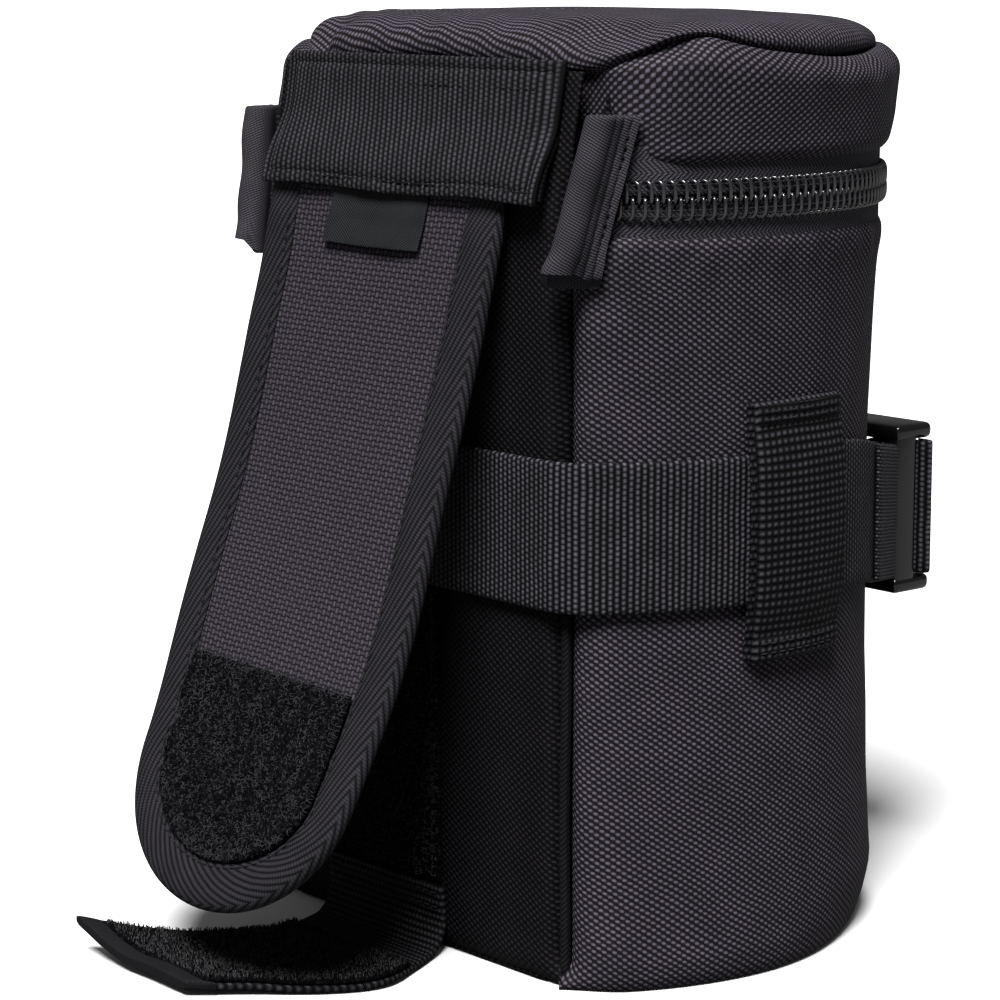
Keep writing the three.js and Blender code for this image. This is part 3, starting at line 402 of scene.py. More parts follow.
def plain_weave(name, pitch, top, low, warm=0.4, slub=0.5):
    """One yarn over, one under, with thick places in the yarns that run across."""
    m = Mat(name, 0.85, 0.05)
    drift = m.noise(0.07)
    a = m.div(m.add(m.u, drift), pitch[0])
    b = m.div(m.add(m.v, drift), pitch[1])
    # One set of yarns stands lower than the other and comes out darker: besides the relief, painted sheen on the
    # higher set.
    height = m.mix(m.checker(a, b), m.mul(m.hill(b), 0.75), m.hill(a))
    height = m.mul(height, m.add(0.76, m.mul(m.hill(b), 0.26)))
    slubs = m.noise(0.9, 2.0, 0.6, (0.35, 2.2))
    # The colour follows the height: painted shade in the gaps, painted sheen on the crowns.
    m.colour(m.painted_shading_and_tone(height, 0.42, slubs, slub, m.noise(3.0, 1.0), 0.35), warm,
             (0.0, low * 0.8), (0.25, low * 1.5), (0.5, top * 0.55), (0.8, top * 1.1), (1.0, top * 1.8))
    m.relief(height, 0.13)
    return m.m


def ribbed(name, pitch, bead, top, low, swap=False, depth=0.34, half=0.5, notch=0.5):
    """Webbing: ribs of beads, each rib half a bead out of step with the next."""
    m = Mat(name, 0.75, 0.09)
    across, along = (m.v, m.u) if swap else (m.u, m.v)
    drift = m.mul(m.sub(m.noise(0.12, 1.0), 0.5), 0.4)
    a = m.div(m.add(across, drift), pitch)
    b = m.add(m.div(along, bead), m.mul(m.op("FLOOR", a), half))
    height = m.mul(m.op("POWER", m.crest(a), 1.1), m.add(1.0 - notch, m.mul(m.hill(b), notch)))
    # The colour follows the height: painted shade between the ribs and beads, painted sheen on their crowns.
    m.colour(m.painted_shading_and_tone(height, 0.55, m.noise(0.2, 3.0), 0.35, m.noise(2.6, 1.0), 0.35), 0.05,
             (0.0, low), (0.36, top * 0.07), (0.66, top * 0.55), (1.0, top * 2.1))
    m.relief(height, depth)
    return m.m


def twill(name, pitch, band, slope, top, low, warm=0.1, depth=0.16, bead=0.0, notch=0.32):
    """Herringbone tape: slanting ridges that turn back at each band."""
    m = Mat(name, 0.78, 0.08)
    fold = m.op("PINGPONG", m.add(m.u, band * 40), band)
    wobble = m.mul(m.sub(m.noise(0.3), 0.5), 0.7)
    ridge = m.crest(m.div(m.add(m.add(m.v, m.mul(fold, slope)), wobble), pitch))
    thread = m.hill(m.div(m.add(m.v, m.mul(m.u, 0.3)), bead) if bead else m.div(m.sub(m.u, m.mul(m.v, 0.2)), 0.55))
    height = m.mul(ridge, m.add(1.0 - notch, m.mul(thread, notch)))
    # The colour follows the height: painted shade between the ridges, painted sheen on their crowns.
    m.colour(m.painted_shading_and_tone(height, 0.65, m.noise(0.16, 3.0), 0.4, m.noise(2.8, 1.0), 0.25), warm,
             (0.0, low), (0.3, top * 0.25), (0.7, top * 0.75), (1.0, top * 1.45))
    m.relief(height, depth, 0.8)
    return m.m


def fuzzy(name, top):
    """Loop pile: tangled fine loops, matte and very dark, with small glints that are painted highlights in its
    colour.
    """
    m = Mat(name, 0.95, 0.02)
    height = m.add(m.mul(m.noise(1.6, 4.0, 0.75), 0.75), m.mul(m.sub(1.0, m.cells(1.7)), 0.4))
    fac = m.mul(m.add(height, m.mul(m.noise(5.0, 2.0, 0.7), 0.35)), 0.75)
    # The brightest stop paints small glints, painted highlights, on the highest pile.
    m.colour(fac, 0.0, (0.38, 0.001), (0.55, top * 0.15), (0.7, top * 0.8), (0.95, top * 3.2))
    m.relief(height, 0.9, 1.0)
    return m.m


def plastic(name, value, rough, spec):
    """Moulded or painted: fine grain, and wear that changes the shade and the gloss."""
    m = Mat(name, rough, spec)
    metres = m.new("TexCoord").outputs["Object"]
    wear = m.noise(60.0, 4.0, 0.6, vector=metres)
    m.colour(wear, 0.0, (0.3, value * 0.75), (0.6, value), (0.85, value * 1.7))
    m.relief(m.add(m.noise(500.0, vector=metres), m.mul(wear, 0.8)), 0.03, 0.5)
    m.roughness(wear, rough * 0.85, rough * 1.3)
    return m.m


def foam_mat(name):
    m = Mat(name, 0.95, 0.15)
    pores = m.cells(2.2)
    m.colour(pores, 0.0, (0.0, 0.012), (0.35, 0.03), (1.0, 0.045))
    m.relief(pores, 0.2, 0.6)
    return m.m


BALLISTIC = ballistic("ballistic", 0.06, 0.0015)
BALLISTIC_TOP = ballistic("ballistic_top", 0.058, 0.002)
# A darker copy of the ballistic fabric: its darkness is painted shade, for the flap's shadow on the back panel.
# The base and the corner folds take it too.
BALLISTIC_PAINTED_SHADE = ballistic("ballistic_painted_shade", 0.009, 0.0003, warm=0.4)
CANVAS = plain_weave("canvas", (1.28, 1.1), 0.042, 0.005, slub=0.6)
LINING = plain_weave("lining", (0.45, 0.45), 0.05, 0.02, warm=0.05, slub=0.2)
BELT = ribbed("belt_webbing", 1.32, 1.15, 0.05, 0.0006)
BAND = ribbed("band_webbing", 1.55, 0.95, 0.028, 0.0003, notch=0.36)
STRAP_WEB = ribbed("strap_webbing", 1.5, 1.2, 0.02, 0.0006, swap=True)
CROSS = ribbed("cross_webbing", 1.6, 1.5, 0.03, 0.0005, swap=True, half=0.0, notch=0.75)
FINE = ribbed("fine_webbing", 0.75, 0.9, 0.06, 0.004, swap=True, depth=0.14)
BINDING = twill("binding", 3.0, 10.4, -2.1, 0.02, 0.0002, bead=0.65, notch=0.45)
TAB = twill("tab_webbing", 0.52, 40.0, 0.55, 0.042, 0.001, depth=0.12)
HEM_TAPE = twill("hem_tape", 0.5, 30.0, 0.6, 0.01, 0.001, depth=0.08)
TAPE = twill("tape", 1.0, 2.4, 1.0, 0.05, 0.0006)
PIPING = twill("piping", 1.1, 1.9, 0.9, 0.008, 0.0005)
THREAD = twill("thread", 0.5, 10.0, 0.8, 0.022, 0.002, depth=0.05)
DARK_THREAD = twill("dark_thread", 0.5, 10.0, 0.8, 0.006, 0.001, depth=0.05)
LABEL = twill("label_weave", 0.6, 60.0, 0.7, 0.018, 0.004, warm=-0.4, depth=0.06)
FUZZ = fuzzy("loop_mat", 0.016)
HOOKS = fuzzy("hook_ground", 0.012)
PILE = plastic("loop_pile", 0.022, 0.5, 0.2)
HOOK_WIRE = plastic("hook_wire", 0.01, 0.4, 0.3)
COIL = plastic("coil", 0.014, 0.2, 1.0)
MOULDED = plastic("moulded", 0.005, 0.18, 0.6)
SLIDER = plastic("painted_slider", 0.01, 0.3, 0.6)
FOAM = foam_mat("foam")

# ---------------------------------------------------------------- the pouch's plan and walls
# How far the padded wall swells out of its nominal circle, by height
SWELL = np.array([(0, 2.6), (3, 3.2), (6, 3.5), (13, 3.4), (19, 3.0), (26, 2.7), (33, 2.3), (46, 2.1), (59, 1.6),
                  (77, 1.5), (92, 1.4), (107, 1.4), (118, 1.8), (130, 2.2), (143, 2.8), (149, 3.3), (158, 3.3),
                  (165, 3.4)])
GROOVE = (0.402, -0.916)
GROOVE_DEPTH, GROOVE_WIDTH = 5.8, 2.3
PLAN_STEPS = 3000
LID_REAR = 36.3
LID_TOP = 192.7


def lean(z):
    return BACK_LEAN * np.maximum(np.asarray(z, float) - LEAN_START, 0) / (BACK_TOP - LEAN_START)


def wall(inset, z, angle):
    radius = R - np.asarray(inset, float)
    return stack(radius * np.cos(angle), radius * np.sin(angle), z)


def on_back(x, z, out):
    return stack(np.asarray(x, float), -BACK + lean(z) - out, z)


def swell(z, edge, reach=20.0):
    """Swelling of the wall at a height and a distance from its corner seam."""
    return np.interp(z, SWELL[:, 0], SWELL[:, 1]) * (0.12 + 0.88 * ease(0, reach, edge))


def draw_into_seam(P, distance, share, side):
    """Draw the cloth into the corner seam near it."""
    depth = GROOVE_DEPTH * np.exp(-(np.maximum(distance, 0) / GROOVE_WIDTH) ** 1.5) * share
    P[..., 0] -= side * depth * GROOVE[0]
    P[..., 1] -= depth * GROOVE[1]


def soften(path, fillet, closed):
    """A plan in even steps with its corners rounded by a moving average, and each point's length along it."""
    s = lengths(path)
    even = np.linspace(0, s[-1], PLAN_STEPS, endpoint=not closed)
    pad = max(int(fillet / (s[-1] / PLAN_STEPS)), 1)
    kernel = np.hanning(2 * pad + 3)[1:-1]
    kernel /= kernel.sum()
    columns = []
    for column in path.T:
        a = np.interp(even, s, column)
        if closed:
            a = np.concatenate([a[-pad:], a, a[:pad]])
        else:
            a = np.concatenate([2 * a[0] - a[pad:0:-1], a, 2 * a[-1] - a[-2:-pad - 2:-1]])
        columns.append(np.convolve(a, kernel, "valid"))
    return stack(*columns), even


def d_ring(inset, rear, n=180, fillet=5.0):
    """The D of the pouch in plan, with rounded rear corners, anticlockwise from its rear left corner."""
    radius = R - inset
    reach = math.pi / 2 + math.asin(min(rear / radius, 0.999))
    arc = np.linspace(-reach, reach, 2000)
    curve = stack(radius * np.sin(arc), radius * np.cos(arc))
    ring, _ = soften(np.concatenate([curve, np.linspace(curve[-1], curve[0], 1000)[1:]]), fillet, True)
    return ring[(np.arange(n) * PLAN_STEPS / n).astype(int)][::-1]


def open_ring(radius, rear, n, fillet=9.0, back_to=42.0):
    """Plan of the lid's side: out along the rear line, round the right corner, the front and the left corner."""
    corner = math.sqrt(max(radius ** 2 - rear ** 2, 1.0))
    reach = math.pi / 2 + math.asin(rear / radius)
    arc = math.pi / 2 + np.linspace(-reach, reach, 1500)
    right = stack(np.linspace(back_to, corner, 80), -rear)[:-1]
    path = np.concatenate([right, stack(radius * np.cos(arc), radius * np.sin(arc)), right[::-1] * (-1, 1)])
    ring, along = soften(path, fillet, False)
    pick = np.linspace(0, PLAN_STEPS - 1, n).astype(int)
    return ring[pick], along[pick]


def outward(tangent):
    """Outward directions of a plan that runs anticlockwise."""
    tangent = unit(tangent)
    return stack(tangent[:, 1], -tangent[:, 0])


def plan_rows(ring, middle, rows):
    """A plan drawn in towards its middle, row by row; a row is a share of the plan and a height."""
    return np.stack([stack(*(middle + (ring - middle) * k).T, z) for k, z in rows], axis=1)


# ---------------------------------------------------------------- body
def build_body():
    # profile from the tucked floor seam over the rounded foot up to the zip's seam
    profile = spline([(9.0, 0.3), (5.0, 0.15), (1.9, 0.2), (0.8, 0.6), (0.3, 1.7), (0.1, 4.0), (0, 9), (0, 30),
                      (0, 60), (0, 90), (0, 120), (0, 140), (0, 147), (0.25, 149.4), (0.9, 150.6),
                      (1.6, 150.9)], 120)
    left = math.pi - SEAM
    A, S = grid(np.linspace(SEAM, left, 260), lengths(profile))
    Z = profile[:, 1] + 0 * A
    E = np.minimum(A - SEAM, left - A) * R
    mid = ease(0, 14, Z) * ease(150, 138, Z)
    # soft lumps and drawn places beside the corner seams
    lumps = smooth_noise(A.shape, (9, 6), 3) * 0.55 + smooth_noise(A.shape, (26, 12), 5) * 0.16
    pull = 0.5 * np.sin(Z * 0.33 + 2.0 * np.sin(Z * 0.09)) * bump(E, 7, 5) * mid
    inset = profile[:, 0] + mid * (pull * 0.5 - lumps * 0.7) - swell(Z, E, 14) + 0.2
    # the foot is less full on the right, and the cloth puckers at the zip's seam
    turned = ease(math.radians(-5), math.radians(35), A) * ease(math.radians(150), math.radians(110), A)
    inset = inset + (2.4 * turned - 0.6) * ease(14, 2, Z)
    inset = inset + 0.22 * np.sin(A * R * 0.75) * bump(Z, 146.5, 3.2) * ease(0, 6, E)
    P = wall(inset, Z, A)
    draw_into_seam(P, E, ease(0.5, 6, Z), np.where(A < math.pi / 2, 1.0, -1.0))
    cover("body_side", P, stack(A * R, S), BALLISTIC, "pouch", "outer_wrap", 0.8)

    # back panel: slightly crowned, rolled into the corner seams, in the darker ballistic whose darkness is painted
    # shade for the flap's shadow
    half = math.sqrt(R * R - BACK * BACK)
    heights = np.concatenate([[0.2, 0.8, 1.8, 3.2, 5, 7.5], np.linspace(10, BACK_TOP - 2.2, 110)])
    X, Z = grid(np.linspace(-half, half, 90), heights)
    E = half - np.abs(X)
    crown = 0.45 * ease(0, 16, E) * ease(2, 25, Z) * ease(184, 150, Z)
    lumps = smooth_noise(X.shape, (5, 8), 11) * 0.35 * ease(0, 6, E)
    foot = 2.2 * (1 - ease(0.0, 4.5, Z)) ** 2
    P = on_back(X, Z, -0.15 + crown * 0.4 + lumps * 0.4 - foot)
    draw_into_seam(P, E, ease(0.5, 6, Z) * ease(172, 150, Z), np.sign(X))
    cover("body_back", P, stack(X, Z), BALLISTIC_PAINTED_SHADE, "pouch", "outer_back_panel", 0.8)

    rows = [(1.0, 0.5), (0.97, 0.15), (0.9, 0.05), (0.75, 0.1), (0.5, 0.25), (0.25, 0.3), (0.08, 0.3)]
    P = plan_rows(d_ring(4.6, 41.6), np.zeros(2), rows)
    # The base takes the same darker ballistic, with its painted shade.
    cover("body_base", P, P[..., :2], BALLISTIC_PAINTED_SHADE, "pouch", "outer_base", flip=True, closed=True, cap=["end"])

    # piping cord in the corner seams, chevron-woven
    for side, sign in SIDES:
        T, Z = grid(np.linspace(0, TURN, 14, endpoint=False), np.linspace(1.4, 76.2, 60))
        grow = 1.15 * np.sqrt(np.clip((Z - 0.9) / 2.5, 0.2, 1))
        P = stack(sign * (half - 1.5) + 0.25 * np.sin(Z * 0.11 + sign) + np.cos(T) * grow,
                  -BACK + 3.0 + np.sin(T) * grow * 0.9, Z)
        cord = surface(f"seam_piping_{side}", P, stack(T * 1.2, Z), PIPING, closed=True, cap=["start", "end"])
        place(cord, "pouch", "binding_tape", f"corner_piping_{side}")


# ---------------------------------------------------------------- lid
def lid_rear(z):
    return 32 + (LID_REAR - 32) * np.clip((np.asarray(z, float) - 158) / 28, 0, 1)


# Rise of the crease between the lid's side and top, by angle round the lid in degrees
CREASE = np.array([(-90, 0), (-50, -1.2), (-42, -0.6), (-36, 1.8), (-29, 3.8), (-22, 5.0), (-16, 3.6), (-7, 0.8),
                   (2, -0.6), (10, -1.3), (30, -0.9), (49, 0), (70, 0.5), (90, 0), (110, -0.6), (131, 0.2),
                   (150, -0.8), (175, -0.6), (190, 0.0), (202, 0.4), (211, 0.0), (222, -1.0), (270, 0)], float)
CREASE_TURN = np.linspace(-90, 270, 721)
CREASE_RISE = np.convolve(np.pad(np.interp(CREASE_TURN, CREASE[:, 0], CREASE[:, 1]), 8, "edge"), np.ones(17) / 17,
                          "valid")


def crease_rise(x, y):
    turn = np.degrees(np.arctan2(y, x))
    return np.interp(np.where(turn < -90, turn + 360, turn), CREASE_TURN, CREASE_RISE)


def corner_drop(x, y):
    """How far the lid's rear corners fall away."""
    return np.where(x > 0, 4.6, 11.5) * ease(24, 0, np.hypot(np.abs(x) - 51.5, y + 37)) ** 1.3


def draw_corners(P, drop, share=1.0):
    """Draw the lid's rear corners in towards its middle, by a share of their fall."""
    pull = drop * np.where(P[..., 0] > 0, 0.42, 0.68) * share
    P[..., 0] -= 0.75 * pull * np.sign(P[..., 0])
    P[..., 1] += 0.66 * pull


def build_lid():
    # side, from the upper zip tape over its bulge to the crease under the top panel
    nu, nv = 320, 64
    profile = spline([(-1.2, 165.6), (-2.4, 164.9), (-3.4, 165.4), (-4.5, 167.0), (-5.1, 170.0), (-5.4, 174.2),
                      (-5.7, 178.2), (-5.7, 180.6), (-5.0, 182.6), (-3.3, 184.5), (-1.5, 185.6), (0.2, 185.6),
                      (2.4, 185.0), (5.0, 184.0)], nv)
    ring, along = open_ring(R + 3.0, 35.0, nu)
    from_end = np.minimum(along, along[-1] - along)
    flat_end = 1.12 * ease(5, 27, from_end) - 0.12
    phi = np.arctan2(ring[:, 1], ring[:, 0])
    degrees = np.degrees(phi)
    ear = bump(phi, math.radians(47), 0.05) + bump(phi, math.radians(133), 0.05)
    under_lip = ease(-52, -42, degrees) * ease(-15, -24, degrees)
    lumps = smooth_noise((nu, nv), (12, 3), 21) * 0.7 + smooth_noise((nu, nv), (36, 5), 23) * 0.25
    P = np.zeros((nu, nv, 3))
    for j, (inset, z) in enumerate(profile):
        rise = (z - 165.0) / 21.0
        tucked = under_lip * ease(0.76, 0.93, rise)
        mid = ease(0.02, 0.25, rise) * ease(0, 12, from_end)
        folds = 0.3 * np.sin(along * 0.42 + rise * 3.0) * bump(rise, 0.93, 0.18)
        out = -inset * np.where(inset < 0, flat_end, 1.0) - 2.3 * tucked
        out = out + mid * (lumps[:, j] + folds + ear * 0.5 * ease(0.1, 0.4, rise))
        base, _ = open_ring(R, float(lid_rear(z)) + 0.2, nu)
        x, y = (base + outward(np.gradient(base, axis=0)) * out[:, None]).T
        drop = corner_drop(x, y)
        lift = ear * 0.6 + 0.3 * np.sin(phi * 9 + 1) + crease_rise(x, y) - 0.22 * drop
        P[:, j] = stack(x, y, z + ease(0.4, 1.0, rise) * lift - 1.4 * tucked)
        draw_corners(P[:, j], drop, ease(0.3, 1.0, rise))
    cover("lid_cover_side", P, stack(-along[:, None], lengths(profile) + 160), BALLISTIC, "lid", "lid_side", 0.8)

    # top panel: a rolled edge over the crease and a soft dome
    nu, edge_rows, lip_rows = 300, 52, 30
    centre = np.array([0.0, 9.0])
    ring = d_ring(-0.2, LID_REAR, nu, 7.0)
    normal = outward(np.roll(ring, -1, axis=0) - np.roll(ring, 1, axis=0))
    phi = np.arctan2(ring[:, 1], ring[:, 0])
    degrees = np.degrees(phi)
    rear = ease(-26.0, -36.2, ring[:, 1])
    front = 1 - rear
    lip = 2.0 * ease(-48, -40, degrees) * ease(-15, -24, degrees)
    # the crease is deep in places, where the top panel is drawn over its seam
    deep = 0.5 + 0.5 * np.cos(phi * 4.0 + 1.9)
    wobble = 0.35 * np.sin(phi * 5 + 1.0) + 0.25 * np.sin(phi * 11 + 2.0)
    profile = spline([(3.6, 184.6), (2.4, 185.2), (1.0, 185.9), (0.1, 186.8), (0.0, 187.9), (0.7, 189.1),
                      (2.2, 190.2), (4.6, 191.2), (8.0, 191.9), (12.5, 192.4), (18.0, LID_TOP)], edge_rows)
    s = lengths(profile)
    P = []
    for (inset, z), dist in zip(profile, s):
        near = ease(14, 0, dist)
        inward = (inset + near * front * (0.6 * wobble - 1.6 * deep) - 0.5 * rear * ease(6, 0, dist)
                  - lip * ease(8, 2, dist))
        # further in, the rows close towards the middle, so that the corners stay open
        close = max(inset - 4.0, 0.0)
        xy = ring - normal * (inward - close)[:, None]
        xy = xy + unit(centre - xy) * close
        height = z + near * 0.4 * np.sin(phi * 4 + 0.4) * front - 2.6 * rear * ease(9, 0, dist)
        P.append(stack(*xy.T, height + crease_rise(*xy.T) * np.clip((LID_TOP - z) / 7.2, 0, 1)))
    last = P[-1][:, :2]
    for k in np.linspace(1, 0, 30)[1:-1]:
        P.append(stack(*(centre + (last - centre) * k).T, LID_TOP + 0.4 * (1 - k * k)))
    P = np.stack(P, axis=1)
    # slanting soft folds near the rear edge, where the panel is drawn down to the hinge
    X, Y, Z = P[..., 0], P[..., 1], P[..., 2]
    wave = np.sin(X * 0.5 + (Y + 36) * 0.33 + 0.9 * np.sin(X * 0.11))
    weight = np.concatenate([ease(0, 1, np.linspace(0, 1, lip_rows)), np.ones(edge_rows - lip_rows),
                             np.linspace(1, 0.1, P.shape[1] - edge_rows)])
    Z += (0.34 * wave * ease(12, -30, Y) - 0.2) * weight * (0.6 + 0.4 * ease(30, -30, X))
    Z += 0.4 * smooth_noise(Z.shape, (9, 5), 31) * weight
    Z[:] = np.where(Z > LID_TOP + 0.1, LID_TOP + 0.1 + 0.5 * np.tanh((Z - LID_TOP - 0.1) / 0.5), Z)
    # the rear corners fall away in a wide round
    drop = corner_drop(X, Y)
    Z -= drop * np.clip((Z - 184.0) / 8.0, 0.4, 1.0)
    draw_corners(P, drop)
    # the panel laid flat, turned so that the weave runs slanting over it
    first = int(np.searchsorted(s, s[-1] - 14.2))
    rim = P[:, first, None, :2] + normal[:, None, :] * (s[first] - s[:first])[None, :, None]
    u, v = np.moveaxis(np.concatenate([rim, P[:, first:, :2]], axis=1), -1, 0)
    turn = math.radians(24)
    uv = stack(u * math.cos(turn) + v * math.sin(turn), v * math.cos(turn) - u * math.sin(turn))
    cover("lid_cover_top", P, uv, BALLISTIC_TOP, "lid", "lid_top_panel", 0.7, closed=True, cap=["end"])


# ---------------------------------------------------------------- zip
ZIP_END = math.radians(34.5)
TOOTH_PITCH = 2.25
TOOTH_RADIUS = 0.4
# One bent tooth: along the chain, up from the chain's middle, out of the wall
TOOTH = spline([(-1.25, 3.4, -0.55), (-0.95, 3.65, 0.0), (-0.5, 3.55, 0.45), (-0.12, 3.0, 0.75), (0.0, 2.3, 0.9),
                (0.0, 1.1, 0.92), (0.02, 0.0, 0.82), (0.04, -0.45, 0.45), (0.05, -0.3, -0.2)], 13)
ZIP_HALVES = (("lower", "pouch", -1, 148.3, 157.2), ("upper", "lid", 1, 158.8, 168.4))


def zip_swell(phi, z=ZIP_Z):
    """Swelling of the wall under the zip, which sinks towards the zip's ends."""
    return swell(z, np.minimum(phi + ZIP_END, math.pi + ZIP_END - phi) * R + 8, 19)


def build_zip():
    for half, body, _, low, high in ZIP_HALVES:
        A, Z = grid(np.linspace(-ZIP_END, math.pi + ZIP_END, 240), span(low, high, 10))
        P = wall(1.25 - zip_swell(A, Z) + 0.05 * np.sin(A * R * 0.22), Z, A)
        tape = slab(f"tape_{half}", P, stack(Z, A * R), 0.7, TAPE, round_edge(Z, low, high))
        place(tape, body, "zip_tape", f"zip_tape_{half}")
    # the coils: a thin tube along each bent tooth
    chain_radius = R + 0.4
    count = int((math.pi + 2 * ZIP_END) * chain_radius / TOOTH_PITCH) - 1
    along = unit(np.gradient(TOOTH, axis=0))
    across = unit(np.cross(along, np.where(np.abs(along[:, :1]) < 0.8, (1.0, 0.0, 0.0), (0.0, 0.0, 1.0))))
    angle = (TURN * np.arange(6) / 6)[:, None]
    tooth = TOOTH[:, None] + TOOTH_RADIUS * (across[:, None] * np.cos(angle)
                                             + np.cross(along, across)[:, None] * np.sin(angle))
    for half, body, sign, _, _ in ZIP_HALVES:
        step = np.arange(count) + (1.4 if sign > 0 else 0.9)
        phi = (step * TOOTH_PITCH / chain_radius - ZIP_END)[:, None, None] + tooth[..., 0] / R
        rings = wall(0.5 - tooth[..., 2] - zip_swell(phi), ZIP_Z + sign * (tooth[..., 1] + 0.05), phi)
        coil = tubes(f"coil_{half}", rings, tooth[..., :2], COIL, caps=-1, flip=sign < 0)
        place(coil, body, "zip_coil", f"zip_coil_{half}")
    # the sewing on the coils, in two rows
    phi = np.linspace(-ZIP_END + 0.01, math.pi + ZIP_END - 0.01, 420)
    for half, body, sign, _, _ in ZIP_HALVES:
        for row, height in (("a", 1.9), ("b", 3.0)):
            path = wall(-0.3 - zip_swell(phi), ZIP_Z + sign * height, phi)
            stitches(f"core_{half}_{row}", path, stack(np.cos(phi), np.sin(phi), 0.0), THREAD, body,
                     pitch=TOOTH_PITCH / 2, stitch=1.0, radius=0.2)


# ---------------------------------------------------------------- inner layers
def inner_material(node):
    return FOAM if "foam" in node else LINING


def inner_layer(obj, node):
    """Place a layer on the body that its node's name tells. Foam is padding; the rest is lining."""
    foam = "foam" in node
    place(obj, "lid" if node.startswith("lid") else "pouch", "closed_cell_foam" if foam else "lining_fabric", node)


def inner_wall(name, node, inset, thick, low, high, rear=None):
    """A layer of the round wall, between two heights. The lid's layers end at the body's leaning back."""
    T, Z = grid(np.linspace(-1, 1, 160), span(low, high, 14))
    if rear is None:
        rear = BACK - 7.6 - GAP - lean(Z)
    A = math.pi / 2 - T * (math.pi / 2 + np.arcsin(np.clip(rear / (R - inset), -1, 1)))
    P = wall(inset + 0.15 * smooth_noise(T.shape, (12, 3), 41), Z, A)
    if node.startswith("lid"):
        lower_corners(P, 0.35, ease(165, 181, Z))
    share = round_edge(Z, low, high, min(thick / 2, 1.5))
    inner_layer(slab(name, P, stack(A * R, Z), thick, inner_material(node), share), node)


def lower_corners(P, down, rise=1.0):
    """Bring an inner layer's rear corners down and in with the lid's cover."""
    drop = corner_drop(P[..., 0], P[..., 1])
    P[..., 2] -= down * drop * rise
    draw_corners(P, drop, rise)


def inner_back(name, node, out, thick, half, low, high):
    """A layer of the flat back; out is its middle's distance out from the back's outer face."""
    X, Z = grid(span(-half, half, 30), span(low, high, 40))
    P = on_back(X, Z, out + 0.12 * smooth_noise(X.shape, (5, 8), 43))
    reach = min(thick / 2, 1.5)
    obj = slab(name, P, stack(X, Z), thick, inner_material(node), edges(X, Z, reach, reach), up=-1)
    inner_layer(obj, node)


def inner_plate(name, node, inset, rear, low, high, dome=0.0):
    """A flat D-shaped layer with a rounded edge."""
    r, half = min((high - low) / 2, 1.6), (high - low) / 2
    middle = np.array([0.0, (R - inset - rear) / 2])
    rows = [(k, low) for k in (0.15, 0.5, 0.8, 0.95)]
    rows += [(1 - r * (1 - math.cos(t)) / R, low + half + half * math.sin(t))
             for t in np.linspace(-math.pi / 2, math.pi / 2, 7)]
    rows += [(k, high + dome * (1 - k * k)) for k in (0.95, 0.8, 0.65, 0.5, 0.35, 0.15)]
    P = plan_rows(d_ring(inset, rear, 150, 4.0), middle, rows)
    P[..., 2] += 0.25 * smooth_noise(P.shape[:2], (8, 5), 47) * ease(0, 0.5, P[..., 2] - low)
    if node.startswith("lid"):
        lower_corners(P, 1.0)
        P[..., 2] -= 0.8 * ease(-15, -34, P[..., 1])
    obj = surface(name, P, P[..., :2], inner_material(node), closed=True, cap=["start", "end"])
    fix_normals(obj)
    inner_layer(obj, node)


def build_inside():
    inner_back("foam_of_back", "foam_back", -4.0, 4.8, 39.5, 6.8, 178)
    inner_back("lining_of_back", "lining_back", -7.2, 0.7, 36, 6.9, 178)
    inner_wall("foam_of_wall", "foam_wrap", 4.3, 4.2, 8.2, 152.9, 36.2)
    inner_wall("lining_of_wall", "lining_wrap", 7.2, 0.7, 6.9, 153.4, 35.3)
    inner_plate("foam_of_base", "foam_base", 6.8, 41.5, 1.5, 6.5)
    inner_plate("lining_of_base", "lining_base", 7.9, 35.1, 6.8, 7.6)
    inner_wall("foam_of_lid", "lid_foam_side", 4.9, 3.2, 163.2, 181.6)
    inner_wall("lining_of_lid", "lid_lining_side", 7.2, 0.7, 163.2, 180.5)
    inner_plate("foam_of_lid_top", "lid_foam_top", 4.1, 34.0, 182.2, 187.2, dome=3.2)
    inner_plate("lining_of_lid_top", "lid_lining_top", 6.8, 30.4, 180.8, 181.6)
    # the fixed fabric behind the zip's ends
    fold_low = 151.8
    for side, sign in SIDES:
        T, Z = grid(np.linspace(0, 1, 12), span(fold_low, 178.0, 24))
        front = -np.arcsin((lid_rear(Z) + 0.45) / (R - 0.6))
        rear = -np.arcsin((BACK - 1.5 - lean(Z)) / (R - 0.6))
        A = front + (rear - front) * T
        Z = fold_low + (Z - fold_low) * ((1 if sign > 0 else 0.76) - 0.4 * T ** 1.5)
        P = wall(0.4 - 0.5 * (1 - T) + 0.5 * np.sin(Z * 0.5) * T * (1 - T), Z, A)
        P[..., 0] *= sign
        # The folds take the darker ballistic, with its painted shade.
        fold = slab(f"fold_{side}", P, stack(A * R, Z), 1.1, BALLISTIC_PAINTED_SHADE, up=sign)
        place(fold, "pouch", "ballistic_fabric", f"corner_fold_{side}")


# ---------------------------------------------------------------- strap loops over the zip's ends
TAB_ANGLE = math.radians(-37)
TAB_SLANT = math.tan(math.radians(14.5))
TAB_SEAMS = (-0.6, 1.2, 3.0)


def tab_point(sign, along, out, z):
    """A point on a strap loop: along the wall towards the front, out of the wall and up."""
    ax, ay = math.cos(TAB_ANGLE), math.sin(TAB_ANGLE)
    return stack(sign * ((R + out) * ax - along * ay), (R + out) * ay + along * ax, z)


